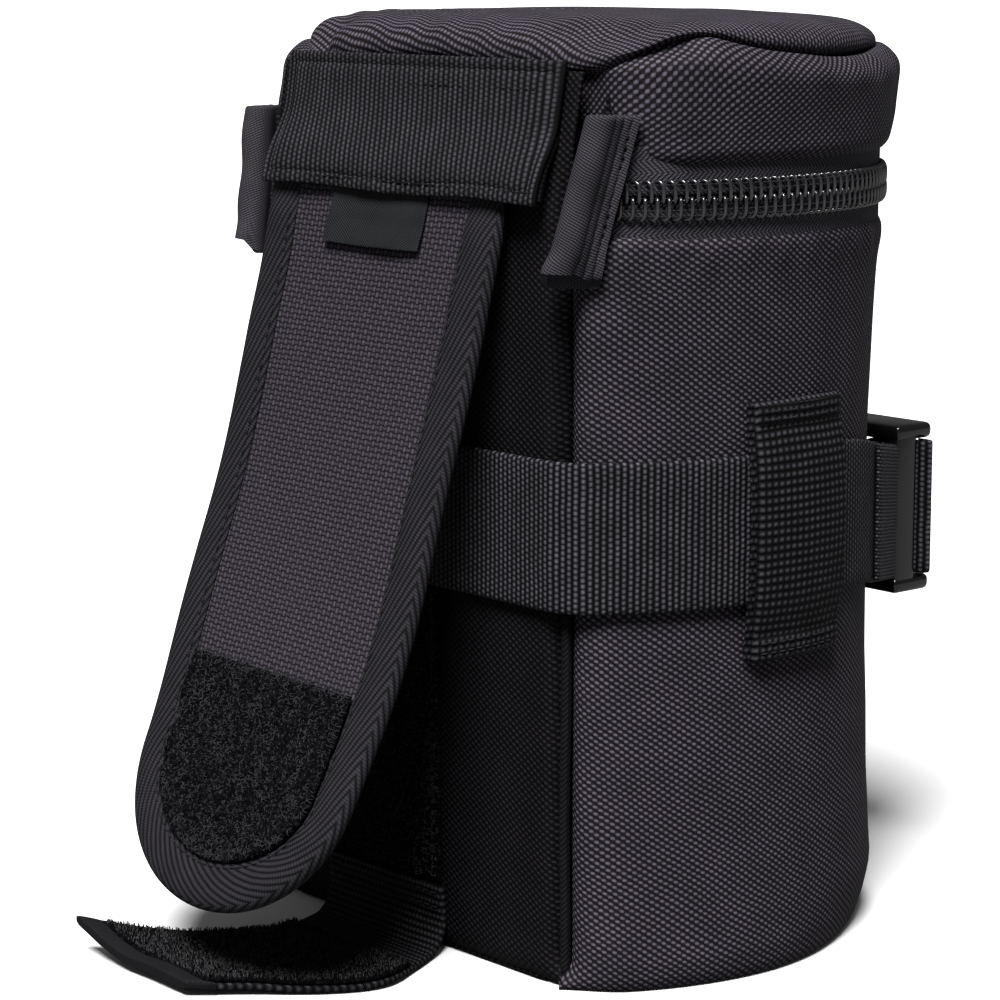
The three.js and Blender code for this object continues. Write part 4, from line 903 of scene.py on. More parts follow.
def build_tabs():
    # plan of the folded webbing: along the wall and out of it
    plan = spline([(4.4, 1.35), (1.8, 1.3), (-1.0, 1.3), (-3.2, 1.5), (-4.8, 2.4), (-5.4, 4.0), (-4.6, 5.6),
                   (-2.6, 6.2), (-0.8, 5.3), (0.7, 3.9), (2.4, 3.2), (4.5, 3.1)], 60)
    for side, sign in SIDES[::-1]:
        top = 16.4 if sign > 0 else 14.2
        S, T = grid(lengths(plan), span(-15.0, top, 26))
        along, out = plan[:, :1] + 0 * T, plan[:, 1:] + 0 * T
        # the open lower end flares and curls a little
        low = ease(-8, -15, T)
        out = out + low * 0.9 * ease(-2, -7, along) * np.sign(out - 3.4)
        ridges = sum(bump(along, seam, 0.35) for seam in TAB_SEAMS) * ease(2.6, 3.2, out)
        lip = 1.8 - 3.2 * np.clip((out - 1.3) / 3.2, 0, 1)
        along = along * (1 + 0.12 * low) + T * TAB_SLANT
        T = T - lip * ease(-9, -15, T)
        out = out + 0.25 * np.sin(T * 0.45 + S * 0.3) * ease(1.8, 3.5, out) - 0.75 * ridges
        P = tab_point(sign, along, out, ZIP_Z + T)
        share = round_edge(T, -15.0, top, 0.8, 0.35)
        obj = slab(f"strap_tab_{side}", P, stack(S, T), 1.45, TAB, share, up=sign)
        place(obj, "pouch", "webbing", f"strap_loop_{side}")
        for k, seam in enumerate(TAB_SEAMS):
            row = np.linspace(-12.6, top - 0.8, 40)
            out = 3.5 + 0.25 * np.sin(row * 0.45 + 10) + (0.5 if seam < 0 else 0)
            stitches(f"tab_stitch_{side}_{k}", tab_point(sign, seam + row * TAB_SLANT, out, ZIP_Z + row),
                     (sign * math.cos(TAB_ANGLE), math.sin(TAB_ANGLE), 0), DARK_THREAD, "pouch", pitch=1.9,
                     stitch=1.2, radius=0.3, sink=0.25)


# ---------------------------------------------------------------- band
BAND_OUT = spline([(156.6, 4.9), (158.5, 5.2), (161.5, 5.1), (164.6, 4.5), (168, 3.2), (171, 2.2), (174, 1.7),
                   (178, 1.35), (181, 1.2), (184.4, 1.05)], 60)
BAND_HALF = 43.5
BAND_TOP = 184.4


def band_out(z):
    return np.interp(z, BAND_OUT[:, 0], BAND_OUT[:, 1])


def band_end(x):
    """How far the band's ends are drawn in to the body."""
    return 0.8 * ease(36, BAND_HALF, np.abs(x))


def build_band():
    X, share_up = grid(span(-BAND_HALF, BAND_HALF, 90), span(0, 1, 44, (0.008, 0.025)))
    low = 157.0 + 0.5 * np.sin((X + 43) * 0.115) + 0.5 * bump(X, -8, 12)
    Z = low + (BAND_TOP - low) * share_up
    out = band_out(Z) - 1.3 * band_end(X) * ease(184, 170, Z)
    out = out + 0.35 * smooth_noise(X.shape, (7, 3), 51) * ease(184, 178, Z)
    # pinched by the sewing all round
    inner = np.minimum(BAND_HALF - np.abs(X), np.minimum(Z - low, BAND_TOP - Z))
    out = out - 0.45 * bump(inner, 2.4, 0.7)
    # the ribs lean less than the band's ends do
    upright = 0.84 * (lean(Z) - out + 1.5) * (1 - (np.abs(X) / BAND_HALF) ** 4)
    share = edges(X, share_up, 0.7, 0.02, 0.35)
    band = slab("band", on_back(X, Z, out), stack(X + upright, Z), 1.5, BAND, share, up=-1)
    place(band, "pouch", "webbing", "top_band")
    # its folded ends, under it
    for side, sign in SIDES:
        X, Z = grid(span(33, 43.2, 12), span(157.6, 170.0, 30))
        P = on_back(sign * X, Z, np.maximum(band_out(Z) - 1.75 - band_end(X), 0.5))
        place(slab(f"band_fold_{side}", P, stack(X, Z), 1.3, BAND, edges(X, Z), up=-sign), "pouch", "webbing")
    # sewing round the band, in one loop
    low, high, left, right = 159.3, 178.6, -33, 37.5
    x = np.concatenate([np.linspace(-42, 42, 90), np.full(30, right),
                        np.linspace(right, left, 90), np.full(30, left)])
    z = np.concatenate([np.full(90, low), np.linspace(low, high, 30),
                        np.full(90, high), np.linspace(high, low, 30)])
    path = on_back(x, z, band_out(z) - 1.3 * band_end(x) * ease(184, 170, z) + 0.45)
    stitches("band_stitch", path, (0.0, -1.0, 0.1), DARK_THREAD, "pouch", pitch=2.2, stitch=1.6, radius=0.24)
    X, Z = grid(span(-39, 35, 40), span(158.4, 172, 16))
    P = on_back(X, Z, 0.2 + 0.45 * band_out(Z))
    hem = slab("hem", P, stack(X, Z), 1.5, CANVAS, edges(X, Z, 0.7, 0.7), up=-1)
    place(hem, "pouch", "canvas", "flap_hem")


# ---------------------------------------------------------------- flap
FLAP_LENGTH = 147.5
FLAP_HALF = 37.8
FLAP_TIP = 28.8
TIP_START = FLAP_LENGTH - FLAP_TIP
# The hanging flap's centre line, by distance down it: angle from upright, then depth and height
FLAP_DOWN = np.linspace(-5, FLAP_LENGTH + 6, 820)
FLAP_ANGLE = np.radians(np.interp(FLAP_DOWN, np.arange(4) * FLAP_LENGTH / 3, [11.7, 17.3, 22.3, 31.0]))


def flap_line(step, start):
    """Sum of small steps down the flap, set so that it is start at the flap's top."""
    middle = (FLAP_ANGLE[1:] + FLAP_ANGLE[:-1]) / 2
    line = -np.concatenate([[0], np.cumsum(step(middle) * np.diff(FLAP_DOWN))])
    return line + start - np.interp(0, FLAP_DOWN, line)


FLAP_Y = flap_line(np.sin, -45.9)
FLAP_Z = flap_line(np.cos, 154.6)


def flap_half(down, inset):
    straight = np.interp(down, [0, 34, 75, TIP_START], [37.3, 37.1, 38.0, FLAP_HALF]) - inset
    share = np.maximum(np.asarray(down, float) - TIP_START, 0) / (FLAP_TIP - inset)
    tip = (FLAP_HALF - inset) * np.sqrt(np.maximum(1 - share ** 2, 0))
    return np.where(np.asarray(down) > TIP_START, tip, straight)


def flap_normal(down):
    a = np.interp(down, FLAP_DOWN, FLAP_ANGLE)
    return stack(0.0, -np.cos(a), np.sin(a))


def flap_point(x, down, out):
    """A point of the hanging flap; x across it, down along it and out away from the body."""
    x, down = np.asarray(x, float), np.asarray(down, float)
    y = np.interp(down, FLAP_DOWN, FLAP_Y) - 3.0 * (x / 40) * (down / FLAP_LENGTH)
    warp = 0.5 * np.sin(down * 0.042 + x * 0.02) * ease(0, 30, down)
    warp = warp + 0.5 * np.sin(down * 0.1 + 2) * (x / 42) * ease(5, 30, down)
    line = stack(x - 4.2, y, np.interp(down, FLAP_DOWN, FLAP_Z))
    return line + flap_normal(down) * np.asarray(out + warp)[..., None]


def flap_rows(inset, start, n_straight, n_tip):
    """Distances down the flap, closer together round its tip."""
    tip = TIP_START + (FLAP_TIP - inset) * np.sin(np.linspace(0, math.pi * 0.492, n_tip))
    return np.concatenate([np.linspace(start, TIP_START, n_straight, endpoint=False), tip])


def flap_stations(inset, straight, turn):
    """Points round the flap's edge, at some inset: down the left, round the tip and up the right."""
    left = [(-flap_half(down, inset), down + 0 * inset) for down in straight]
    tip = [(-(FLAP_HALF - inset) * math.cos(t), TIP_START + (FLAP_TIP - inset) * math.sin(t)) for t in turn]
    return left + tip + [(-x, down) for x, down in left[::-1]]


def cross_hinge(obj, slot_name, *nodes):
    """A piece of the flap that runs on up under the band; the model's nodes are hidden and its place is baked into
    its mesh.
    """
    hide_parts(*nodes)
    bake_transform(obj)
    return obj


def flap_layer(name, start, out, thick, material):
    C, D = grid(span(-1, 1, 54, (0.01, 0.03)), flap_rows(0.8, start, 70, 36))
    X = C * flap_half(D, 0.8)
    return slab(name, flap_point(X, D, out), stack(X, D), thick, material, round_edge(C, -1, 1, 0.03, 0.35), up=-1)


def flap_binding():
    """Tape folded round the flap's edge."""
    section = spline([(9.4, 0.3), (9.9, 0.55), (9.85, 1.0), (9.0, 1.35), (6.5, 1.75), (3.6, 1.8), (1.4, 1.35),
                      (0.35, 0.5), (0.05, -0.5), (0.35, -1.5), (1.6, -2.35), (4.0, -2.6), (7.5, -2.5), (9.6, -2.1),
                      (9.8, -1.7), (9.2, -1.5)], 44)
    straight = np.concatenate([[-3.0, -1.5, 0.0], np.linspace(1.4, TIP_START, 60, endpoint=False)])
    turn = np.linspace(0, math.pi, 80)
    # the tape is flatter where it runs under the band
    full = 0.5 + 0.5 * ease(-1, 5, straight)
    flat = np.concatenate([full, np.ones(len(turn)), full[::-1]])
    P = np.stack([flap_point(x, down, section[:, 1] * k)
                  for (x, down), k in zip(flap_stations(section[:, 0], straight, turn), flat)], axis=1)
    UV = stack(lengths(section)[:, None], lengths(P[10]))
    binding = surface("flap_edge", P, UV, BINDING, closed=True, cap=["start", "end"])
    fix_normals(binding)
    cross_hinge(binding, "binding_tape", "flap_binding")
    x, down = np.array(flap_stations(8.7, straight, turn)[4:-4], float).T
    sewing = stitches("flap_stitch", flap_point(x, down, 1.45), flap_normal(down), THREAD, "flap", pitch=2.3,
                      stitch=1.7, radius=0.24)
    return binding, sewing


def build_flap():
    panel = cross_hinge(flap_layer("flap_canvas", -3.0, 0.0, 1.0, CANVAS), "canvas", "flap_panel")
    inner = place(flap_layer("flap_inner", 1.4, -1.15, 0.7, LINING), "flap", "lining_fabric", "flap_lining")
    binding, sewing = flap_binding()
    patch = loop_patch()
    X, D = grid(span(-20, 20, 24), span(58, 118, 30))
    hooks = slab("flap_hooks", flap_point(X, D, -2.5), stack(X, D), 1.1, HOOKS, edges(X, D), up=1)
    place(hooks, "flap", "hook_fastener", "flap_hook_patch")
    # the blank label, sewn at its top and loose below
    X, D = grid(span(-15.4, 15.2, 34, (0.2, 0.5)), span(-4.2, 9.0, 18, (0.2, 0.5)))
    lift = 0.85 + 0.4 * ease(-1, 3, D) + 0.9 * ease(3, 10, D) * (0.6 + 0.4 * np.sin((X + 14) * 0.1))
    lift = lift + 0.2 * np.sin(X * 0.3) * ease(0, 4, D)
    D = D + 0.5 * np.sin((X + 14) * 0.098) * ease(6, 10.6, D)
    label = slab("blank_label", flap_point(X, D, lift), stack(X, D), 0.5, LABEL, edges(X, D, 0.4, 0.4), up=-1)
    cross_hinge(label, "woven_label", "label")


def loop_patch():
    """The loop pile at the flap's tip: a thick mat with a ragged edge, and many small loops standing on it."""
    inset = 10.3
    C, D = grid(span(-1, 1, 110, (0.006, 0.02)), flap_rows(inset, 98.0, 14, 60))
    X = C * flap_half(D, inset)
    lump = 0.35 * smooth_noise(X.shape, (40, 26), 61) + 0.25 * smooth_noise(X.shape, (90, 60), 62)
    share = round_edge(C, -1, 1, 0.04, 0.3) * round_edge(D, D.min(), D.max() + 3, 1.0, 0.3)
    mat = slab("loop_mat", flap_point(X, D, 1.5 + lump), stack(X, D), 1.5, FUZZ, share, up=-1)
    place(mat, "flap", "loop_fastener", "flap_loop_patch")
    count = 5200
    spots = []
    r = np.random.default_rng(63)
    while len(spots) < count:
        down = r.uniform(97.5, FLAP_LENGTH - inset)
        half = float(flap_half(down, inset))
        x = r.uniform(-half, half)
        if half >= 1:
            spots.append((x, down))
    x, down = np.array(spots).T
    pile = loops("loop_pile_tip", flap_point(x, down, 1.9), flap_normal(down), 64)
    place(pile, "flap", "loop_fastener")
    return mat


def sideways(up, r):
    """Two directions across each of many upright ones, turned at random."""
    side = unit(np.cross(up, r.normal(size=up.shape)))
    return side, np.cross(up, side)


def loops(name, points, normals, seed, size=1.1, radius=0.09):
    """Small arcs of thread standing on a surface, as in loop pile."""
    r = np.random.default_rng(seed)
    n = len(points)
    side, cross = (v[:, None] for v in sideways(normals, r))
    normals, points = normals[:, None], points[:, None]
    width, height = size * r.uniform(0.5, 1.2, n), size * r.uniform(0.35, 0.9, n)
    tilt = r.uniform(-0.7, 0.7, n)
    t = math.pi * np.arange(6) / 5
    across, up = -np.cos(t)[:, None], np.sin(t)[:, None]
    width, height, tilt = (v[:, None, None] for v in (width, height, tilt))
    centre = points + side * (width * across * 0.5) + normals * (height * up - 0.25) + cross * (tilt * up * height)
    radial = side * across + normals * up
    angle = (TURN * np.arange(3) / 3)[:, None]
    rings = centre[:, :, None] + (radial[:, :, None] * np.cos(angle) + cross[:, :, None] * np.sin(angle)) * radius
    return tubes(name, rings, rings[..., [0, 2]], PILE, caps=0)


def bristles(name, base, up, seed):
    """Tiny curved spikes, as of hook fastener."""
    r = np.random.default_rng(seed)
    n = len(base)
    up = unit(up)
    side, cross = sideways(up, r)
    tall = r.uniform(0.6, 1.25, (n, 1))
    verts = np.zeros((n, 7, 3))
    for k in range(3):
        d = side * math.cos(TURN * k / 3) + cross * math.sin(TURN * k / 3)
        verts[:, k] = base + d * 0.16 - up * 0.2
        verts[:, 3 + k] = base + d * 0.11 + up * 0.65 * tall + side * 0.12
    verts[:, 6] = base + up * 0.75 * tall + side * 0.5
    start = np.arange(n)[:, None] * 7
    faces = []
    for k in range(3):
        j = (k + 1) % 3
        faces += (start + (k, j, 3 + j, 3 + k)).tolist() + (start + (3 + k, 3 + j, 6)).tolist()
    flat = verts.reshape(-1, 3)
    return make(name, flat, faces, flat[:, :2], HOOK_WIRE, sharp=180)


# ---------------------------------------------------------------- back fastener panel and hook strap
# The strap's path from its sewn end, down round its bend and out over the floor: distance out of the back, height
STRAP_BEND = [(8.1 - 7 * math.cos(t), 7.95 - 7 * math.sin(t)) for t in np.linspace(0, math.pi / 2, 7)]
STRAP_PATH = spline([(1.1, 14.0), *STRAP_BEND, *((8.1 + 8.5 * k, 0.95) for k in range(1, 7))], 200)
STRAP_S = lengths(STRAP_PATH)
STRAP_LENGTH = STRAP_S[-1]
# How far the strap's middle is off the flap's side of the pouch's middle, along it
STRAP_MIDDLE = spline(list(enumerate((-7, -5.5, -1, 2.5, -1.5, -9.5, -18.0))), 200)[:, 1]


def strap_point(x, at, up):
    """A point of the hook strap: x across it, at along it and up from its middle."""
    def path(s):
        return np.interp(s, STRAP_S, STRAP_PATH[:, 0]), np.interp(s, STRAP_S, STRAP_PATH[:, 1])

    share = at / STRAP_LENGTH
    out, z = path(at)
    dx, dz = np.subtract(path(at + 0.5), path(at - 0.5))
    length = np.maximum(np.hypot(dx, dz), 1e-6)
    dx, dz = dx / length, dz / length
    lift = np.where(x < 0, 4.2 * share ** 4 * (np.abs(x) / 19) ** 1.3, 0) + 1.4 * share ** 4
    x = x * (1 + 0.1 * bump(share, 0.55, 0.25))
    wave = 0.35 * np.sin(at * 0.22 + x * 0.05) * ease(16, 30, at) * ease(0.95, 0.8, share)
    up = up + np.maximum(wave, -0.1)
    middle = np.interp(share, np.linspace(0, 1, 200), STRAP_MIDDLE)
    return stack(middle + x, -BACK - (out - dz * up), z + dx * up + lift)


def build_strap():
    X, Z = grid(span(-27, 10.9, 60), span(15, 76.8, 80))
    P = on_back(X, Z, 0.95 + 0.25 * smooth_noise(X.shape, (30, 40), 71))
    panel = slab("back_loop_mat", P, stack(X, Z), 1.4, FUZZ, edges(X, Z, 0.9, 0.9), up=-1)
    place(panel, "pouch", "loop_fastener", "back_loop_panel")
    r = np.random.default_rng(72)
    count = 2600
    x, z = r.uniform(-26.5, 10.6, count), r.uniform(15.4, 76.4, count)
    pile = loops("loop_pile_back", on_back(x, z, 1.6), np.tile(OUT_OF_BACK, (count, 1)), 73)
    place(pile, "pouch", "loop_fastener")
    stitches("panel_stitch", on_back(9.4, np.linspace(16, 76, 60), 1.75), OUT_OF_BACK, THREAD, "pouch")

    X, S = grid(span(-19, 19, 40), span(0, STRAP_LENGTH - 4.5, 110))
    strap = slab("strap_web", strap_point(X, S, 0.0), stack(X, S), 1.5, STRAP_WEB, edges(X, S))
    place(strap, "hook_strap", "webbing", "hook_strap_webbing")
    X, S = grid(span(-18.7, 18.7, 44), span(25, STRAP_LENGTH - 3.2, 50))
    mat = slab("strap_hooks", strap_point(X, S, 1.35), stack(X, S), 1.0, HOOKS, edges(X, S))
    place(mat, "hook_strap", "hook_fastener", "hook_strap_patch")
    count = 7000
    x, at = r.uniform(-18.3, 18.3, count), r.uniform(25.3, STRAP_LENGTH - 4, count)
    base = strap_point(x, at, 1.75)
    hooks = bristles("strap_bristles", base, strap_point(x, at, 2.7) - base, 74)
    place(hooks, "hook_strap", "hook_fastener")
    # the folded hem at the tip
    section = spline([(0.2, -0.8), (2.6, -0.85), (5.0, -0.7), (5.7, 0.2), (5.2, 1.3), (3.6, 1.6), (1.6, 1.55),
                      (0.2, 1.2)], 30)
    A, X = grid(lengths(section), span(-19.2, 19.2, 40, (0.3, 0.8)))
    shrink = 0.55 + 0.45 * np.sqrt(np.clip((19.2 - np.abs(X)) / 0.9, 0, 1))
    up = np.maximum(0.6 + (section[:, 1:] - 0.6) * shrink + 0.25 * np.sin(X * 0.25), -0.72)
    at = np.minimum(STRAP_LENGTH - 5.2 + section[:, :1], STRAP_LENGTH + 0.4) + 0 * X
    hem = surface("strap_tip", strap_point(X, at, up), stack(A, X), HEM_TAPE, closed=True, cap=["start", "end"])
    fix_normals(hem)
    place(hem, "hook_strap", "binding_tape", "hook_strap_hem")
    x = np.linspace(-18, 18, 40)
    for k, at in enumerate((1.5, 4.5)):
        stitches(f"strap_sewing_{k}", strap_point(x, at + 0 * x, 0.95), OUT_OF_BACK, THREAD, "hook_strap")


# ---------------------------------------------------------------- belt
BELT_Z = 92.3
BELT_DROP = 9.8
BELT_R = R + 1.5 + GAP + WEB / 2
BELT_UNDER = 69.5
BELT_OVER = 80.2
BELT_LEAVE_X = 32.0
LOOP_FROM, LOOP_TO = math.radians(-8.0), math.radians(13.8)


def belt_path():
    """Rows of x, y, normal angle and drop of the belt's right side, from the middle of the back to the buckle."""
    ux, uy = BELT_LEAVE_X, BELT_UNDER
    leave = math.atan2(uy, ux) - math.acos(BELT_R / math.hypot(ux, uy))
    back_out = BACK + GAP + WEB / 2
    corner_x = math.sqrt(BELT_R ** 2 - back_out ** 2)
    straight = stack(np.linspace(0, corner_x - 3.5, 26), -back_out, -math.pi / 2, 0.0)
    angle = np.linspace(0.045 - math.asin(back_out / BELT_R), leave, 90)
    drop = ease(math.radians(14), math.radians(66), angle) * BELT_DROP
    round_part = stack(BELT_R * np.cos(angle), BELT_R * np.sin(angle), angle, drop)
    free = np.linspace(round_part[-1], (ux, uy, leave, BELT_DROP), 12)[1:]
    return np.concatenate([straight, round_part, free])


def ribbon(name, plan, drops, half, thick, material, v0=0.0):
    s = lengths(plan)
    S, Z = grid(np.linspace(0, s[-1], max(int(s[-1] / 1.1), 30)), span(-half, half, 16))
    x, y, drop = (np.interp(S, s, values) for values in (*plan.T, drops))
    return slab(name, stack(x, y, BELT_Z + Z - drop), stack(S + v0, Z), thick, material, edges(S, Z, 0.7, 0.7))


def bar_turn(x):
    """The webbing's turn round a bar of the buckle, from its inner to its outer side."""
    low, high = BELT_UNDER, BELT_OVER - 2.3
    t = np.linspace(0, math.pi, 15)
    return stack(x - 2.6 * np.sin(t), (low + high) / 2 - (high - low) / 2 * np.cos(t))


def build_belt():
    path = belt_path()
    points, angle, drops = path[:, :2], path[:, 2], path[:, 3]
    normal = stack(np.cos(angle), np.sin(angle))
    # left: round the end bar and sewn back on itself; right: up to the buckle
    high = BELT_OVER - 2.3
    fold = np.concatenate([bar_turn(BELT_LEAVE_X - 2.6), [(33.4, high - 0.4), (34.6, high - 1.6)],
                           [points[-6] + 1.95 * normal[-6]]])
    cut = len(path) - 8
    left = np.concatenate([points[:-1], fold]) * (-1, 1)
    left_drops = np.concatenate([drops[:-1], np.full(len(fold) - 1, BELT_DROP), [drops[-6]]])
    belt = ribbon("belt_web", np.concatenate([left[::-1], points[1:cut]]),
                  np.concatenate([left_drops[::-1], drops[1:cut]]), 15, 1.5, BELT)
    place(belt, "pouch", "webbing", "compression_belt")
    # right end: under the end bar, round the middle bar and back out over the end bar
    over = np.array([(27.0, -2.4), (30.0, -1.9), (32.4, -1.6), (33.3, -0.6), (32.5, 0.4), (29.0, 0.5)])
    over = over + (0, BELT_OVER)
    tail = np.concatenate([points[cut:], bar_turn(BELT_LEAVE_X - 7.4), over])
    tail_drops = np.concatenate([drops[cut:], np.full(len(tail) - len(points[cut:]), BELT_DROP)])
    place(ribbon("belt_tail", tail, tail_drops, 15, 1.5, BELT, 0.3), "pouch", "webbing", "belt_end")
    # the sewn-down end of the webbing, on the belt beside the buckle
    strip = slice(-13, -3)
    turned = ribbon("belt_turned_end", points[strip] + 1.55 * normal[strip], drops[strip], 14.6, 1.3, FINE)
    place(turned, "pouch", "webbing")


def loop_layer(name, sign, out, z, A, V, thick, material, share, *nodes):
    """A layer of a side loop: out from the wall, at a height and an angle; mirrored where sign is -1."""
    P = wall(-out, z, A) * (sign, 1, 1)
    obj = slab(name, P, stack(A * R, V), thick, material, share, up=sign)
    place(obj, "pouch", "webbing", *nodes)


def build_side_loops():
    # from below the belt over it to above it: height and distance out of the wall
    profile = spline([(65.6, 2.8), (69, 3.0), (73, 3.7), (77, 4.5), (82, 5.0), (92, 5.3), (102, 5.0), (107, 4.5),
                      (111, 3.7), (114.5, 3.0), (117.5, 2.8)], 80)
    s = lengths(profile)
    height, rise = profile.T
    away = np.abs(height - 92)
    for side, sign in SIDES[::-1]:
        A, S = grid(np.linspace(LOOP_FROM, LOOP_TO, 30), s)
        out = rise + 0.25 * np.sin(A * 14) * bump(height, 92, 14)
        z = height + 0.35 * np.sin((A - LOOP_FROM) * 7) * np.sign(height - 92) * ease(8, 20, away)
        share = edges(A, S, 0.013, 0.7, 0.4)
        loop_layer(f"side_loop_{side}", sign, out, z, A, S, 1.6, CROSS, share, f"belt_loop_{side}")
        # the under layer of the loop, which stands out at its rear edge
        A, S = grid(np.linspace(LOOP_FROM - 0.021, LOOP_TO - 0.03, 16), s)
        out = np.maximum(rise - 0.75, 2.2) + 0.5 * ease(0, 4, away - 17)
        share = edges(A, S, 0.006, 0.6)
        loop_layer(f"side_loop_under_{side}", sign, out, height + 0.3, A, S, 0.7, STRAP_WEB, share)
        # turned ends, sewn across
        for k, (low, high) in enumerate(((66.0, 70.6), (113.0, 117.2))):
            A, Z = grid(np.linspace(LOOP_FROM + 0.008, LOOP_TO - 0.008, 24), span(low, high, 8))
            loop_layer(f"loop_hem_{side}_{k}", sign, 4.0, Z, A, Z, 0.9, CROSS, edges(A, Z, 0.01, 0.6))
            a = np.linspace(LOOP_FROM + 0.02, LOOP_TO - 0.02, 30)
            for m, z in enumerate((low + 1.3, high - 1.3)):
                stitches(f"loop_stitch_{side}_{k}_{m}", wall(-4.5, z, a) * (sign, 1, 1),
                         stack(sign * np.cos(a), np.sin(a), 0.0), THREAD, "pouch")


# ---------------------------------------------------------------- buckle and sliders
def rounded_block(low, high, r):
    """Points and faces of a box with rounded edges."""
    low, high = np.asarray(low, float), np.asarray(high, float)
    r = min(r, *(0.49 * (high - low)))
    ticks = np.concatenate([np.linspace(-1, -0.4, 3), np.linspace(0.4, 1, 3)])
    verts, faces, seen = [], [], {}

    def vertex(d):
        key = tuple(np.round(d, 5))
        if key not in seen:
            seen[key] = len(verts)
            direction = np.sign(d) * np.clip(np.abs(d) - 0.4, 0, 1)
            verts.append(np.where(d < 0, low + r, high - r) + unit(direction) * r)
        return seen[key]

    for axis in range(3):
        for sign in (-1, 1):
            for i in range(5):
                for j in range(5):
                    quad = [vertex(np.insert([ticks[a], ticks[b]], axis, sign))
                            for a, b in ((i, j), (i + 1, j), (i + 1, j + 1), (i, j + 1))]
                    faces.append(quad if (sign > 0) == (axis != 1) else quad[::-1])
    return verts, faces


def join_blocks(blocks, verts=(), faces=()):
    """Rounded boxes in one list of points and faces, after those that are there."""
    verts, faces = list(verts), list(faces)
    for low, high, r in blocks:
        points, quads = rounded_block(low, high, r)
        faces += [[len(verts) + k for k in quad] for quad in quads]
        verts += points
    return np.array(verts), faces


def hard(name, blocks, material, body, slot_name, node, turn=None):
    verts, faces = join_blocks(blocks)
    if turn is not None:
        verts = turn(verts)
    return place(make(name, verts, faces, verts[:, [0, 2]], material, sharp=40), body, slot_name, node)


# The buckle's inner and outer face, and its lower and upper edge
BUCKLE_Y = (70.2, 82.0)
BUCKLE_Z = (63.5, 101.5)


def buckle_blocks(plates, rails):
    """Blocks of a buckle half: x from and to, in from its inner and outer face, in from both edges, edge radius.

    A plate reaches from edge to edge. A rail has its width as the fifth number, and there is one at each edge.
    """
    (y0, y1), (z0, z1) = BUCKLE_Y, BUCKLE_Z
    blocks = [((x0, y0 + inner, z0 + edge), (x1, y1 - outer, z1 - edge), r)
              for x0, x1, inner, outer, edge, r in plates]
    for x0, x1, inner, outer, width, r in rails:
        for z in (z0, z1 - width):
            blocks.append(((x0, y0 + inner, z), (x1, y1 - outer, z + width), r))
    return blocks


def build_buckle():
    female = buckle_blocks(
        [(-24.2, 5, 9.4, 0, 0.4, 1.1), (-24.2, 5, 0, 9.4, 0.4, 1.1), (-32, -28.8, 0.3, 4.6, 1, 1.2),
         (-24.2, -21, 0.4, 0.4, 2, 1.1), (-20, -6, 11, -0.45, 12, 0.45)],
        [(-24.2, -13, 0.3, 0.3, 4, 1.1), (-1, 5, 0.3, 0.3, 4, 1.0), (-32, -22, 1, 1, 3.2, 1.2)])
    hard("buckle_socket", female, MOULDED, "pouch", "moulded_plastic", "buckle_female")
    male = buckle_blocks(
        [(5.3, 12, 0.2, 0.2, 1.2, 1.6), (28.4, 32, 0.3, 4.6, 0.6, 1.3), (20.8, 24.2, 4.3, 4.1, 1, 1.3),
         (-14, 6, 2.3, 2.3, 15.8, 1.0)],
        [(9, 32.3, 0, 0.2, 3.6, 1.4)])
    hard("buckle_plug", male, MOULDED, "pouch", "moulded_plastic", "buckle_male")
    # the prongs, each with its arm and its head
    middle = sum(BUCKLE_Z) / 2
    for side, sign in (("upper", 1), ("lower", -1)):
        blocks = []
        for x0, x1, reach, r in ((-14, 4.7, 13.8, 0.9), (-11.5, -1.6, 17.9, 1.6)):
            low, high = sorted((middle + sign * 10.4, middle + sign * reach))
            blocks.append(((x0, 73.7, low), (x1, 78.7, high), r))
        hard(f"prong_{side}", blocks, MOULDED, f"prong_{side}", "moulded_plastic", f"buckle_prong_{side}")


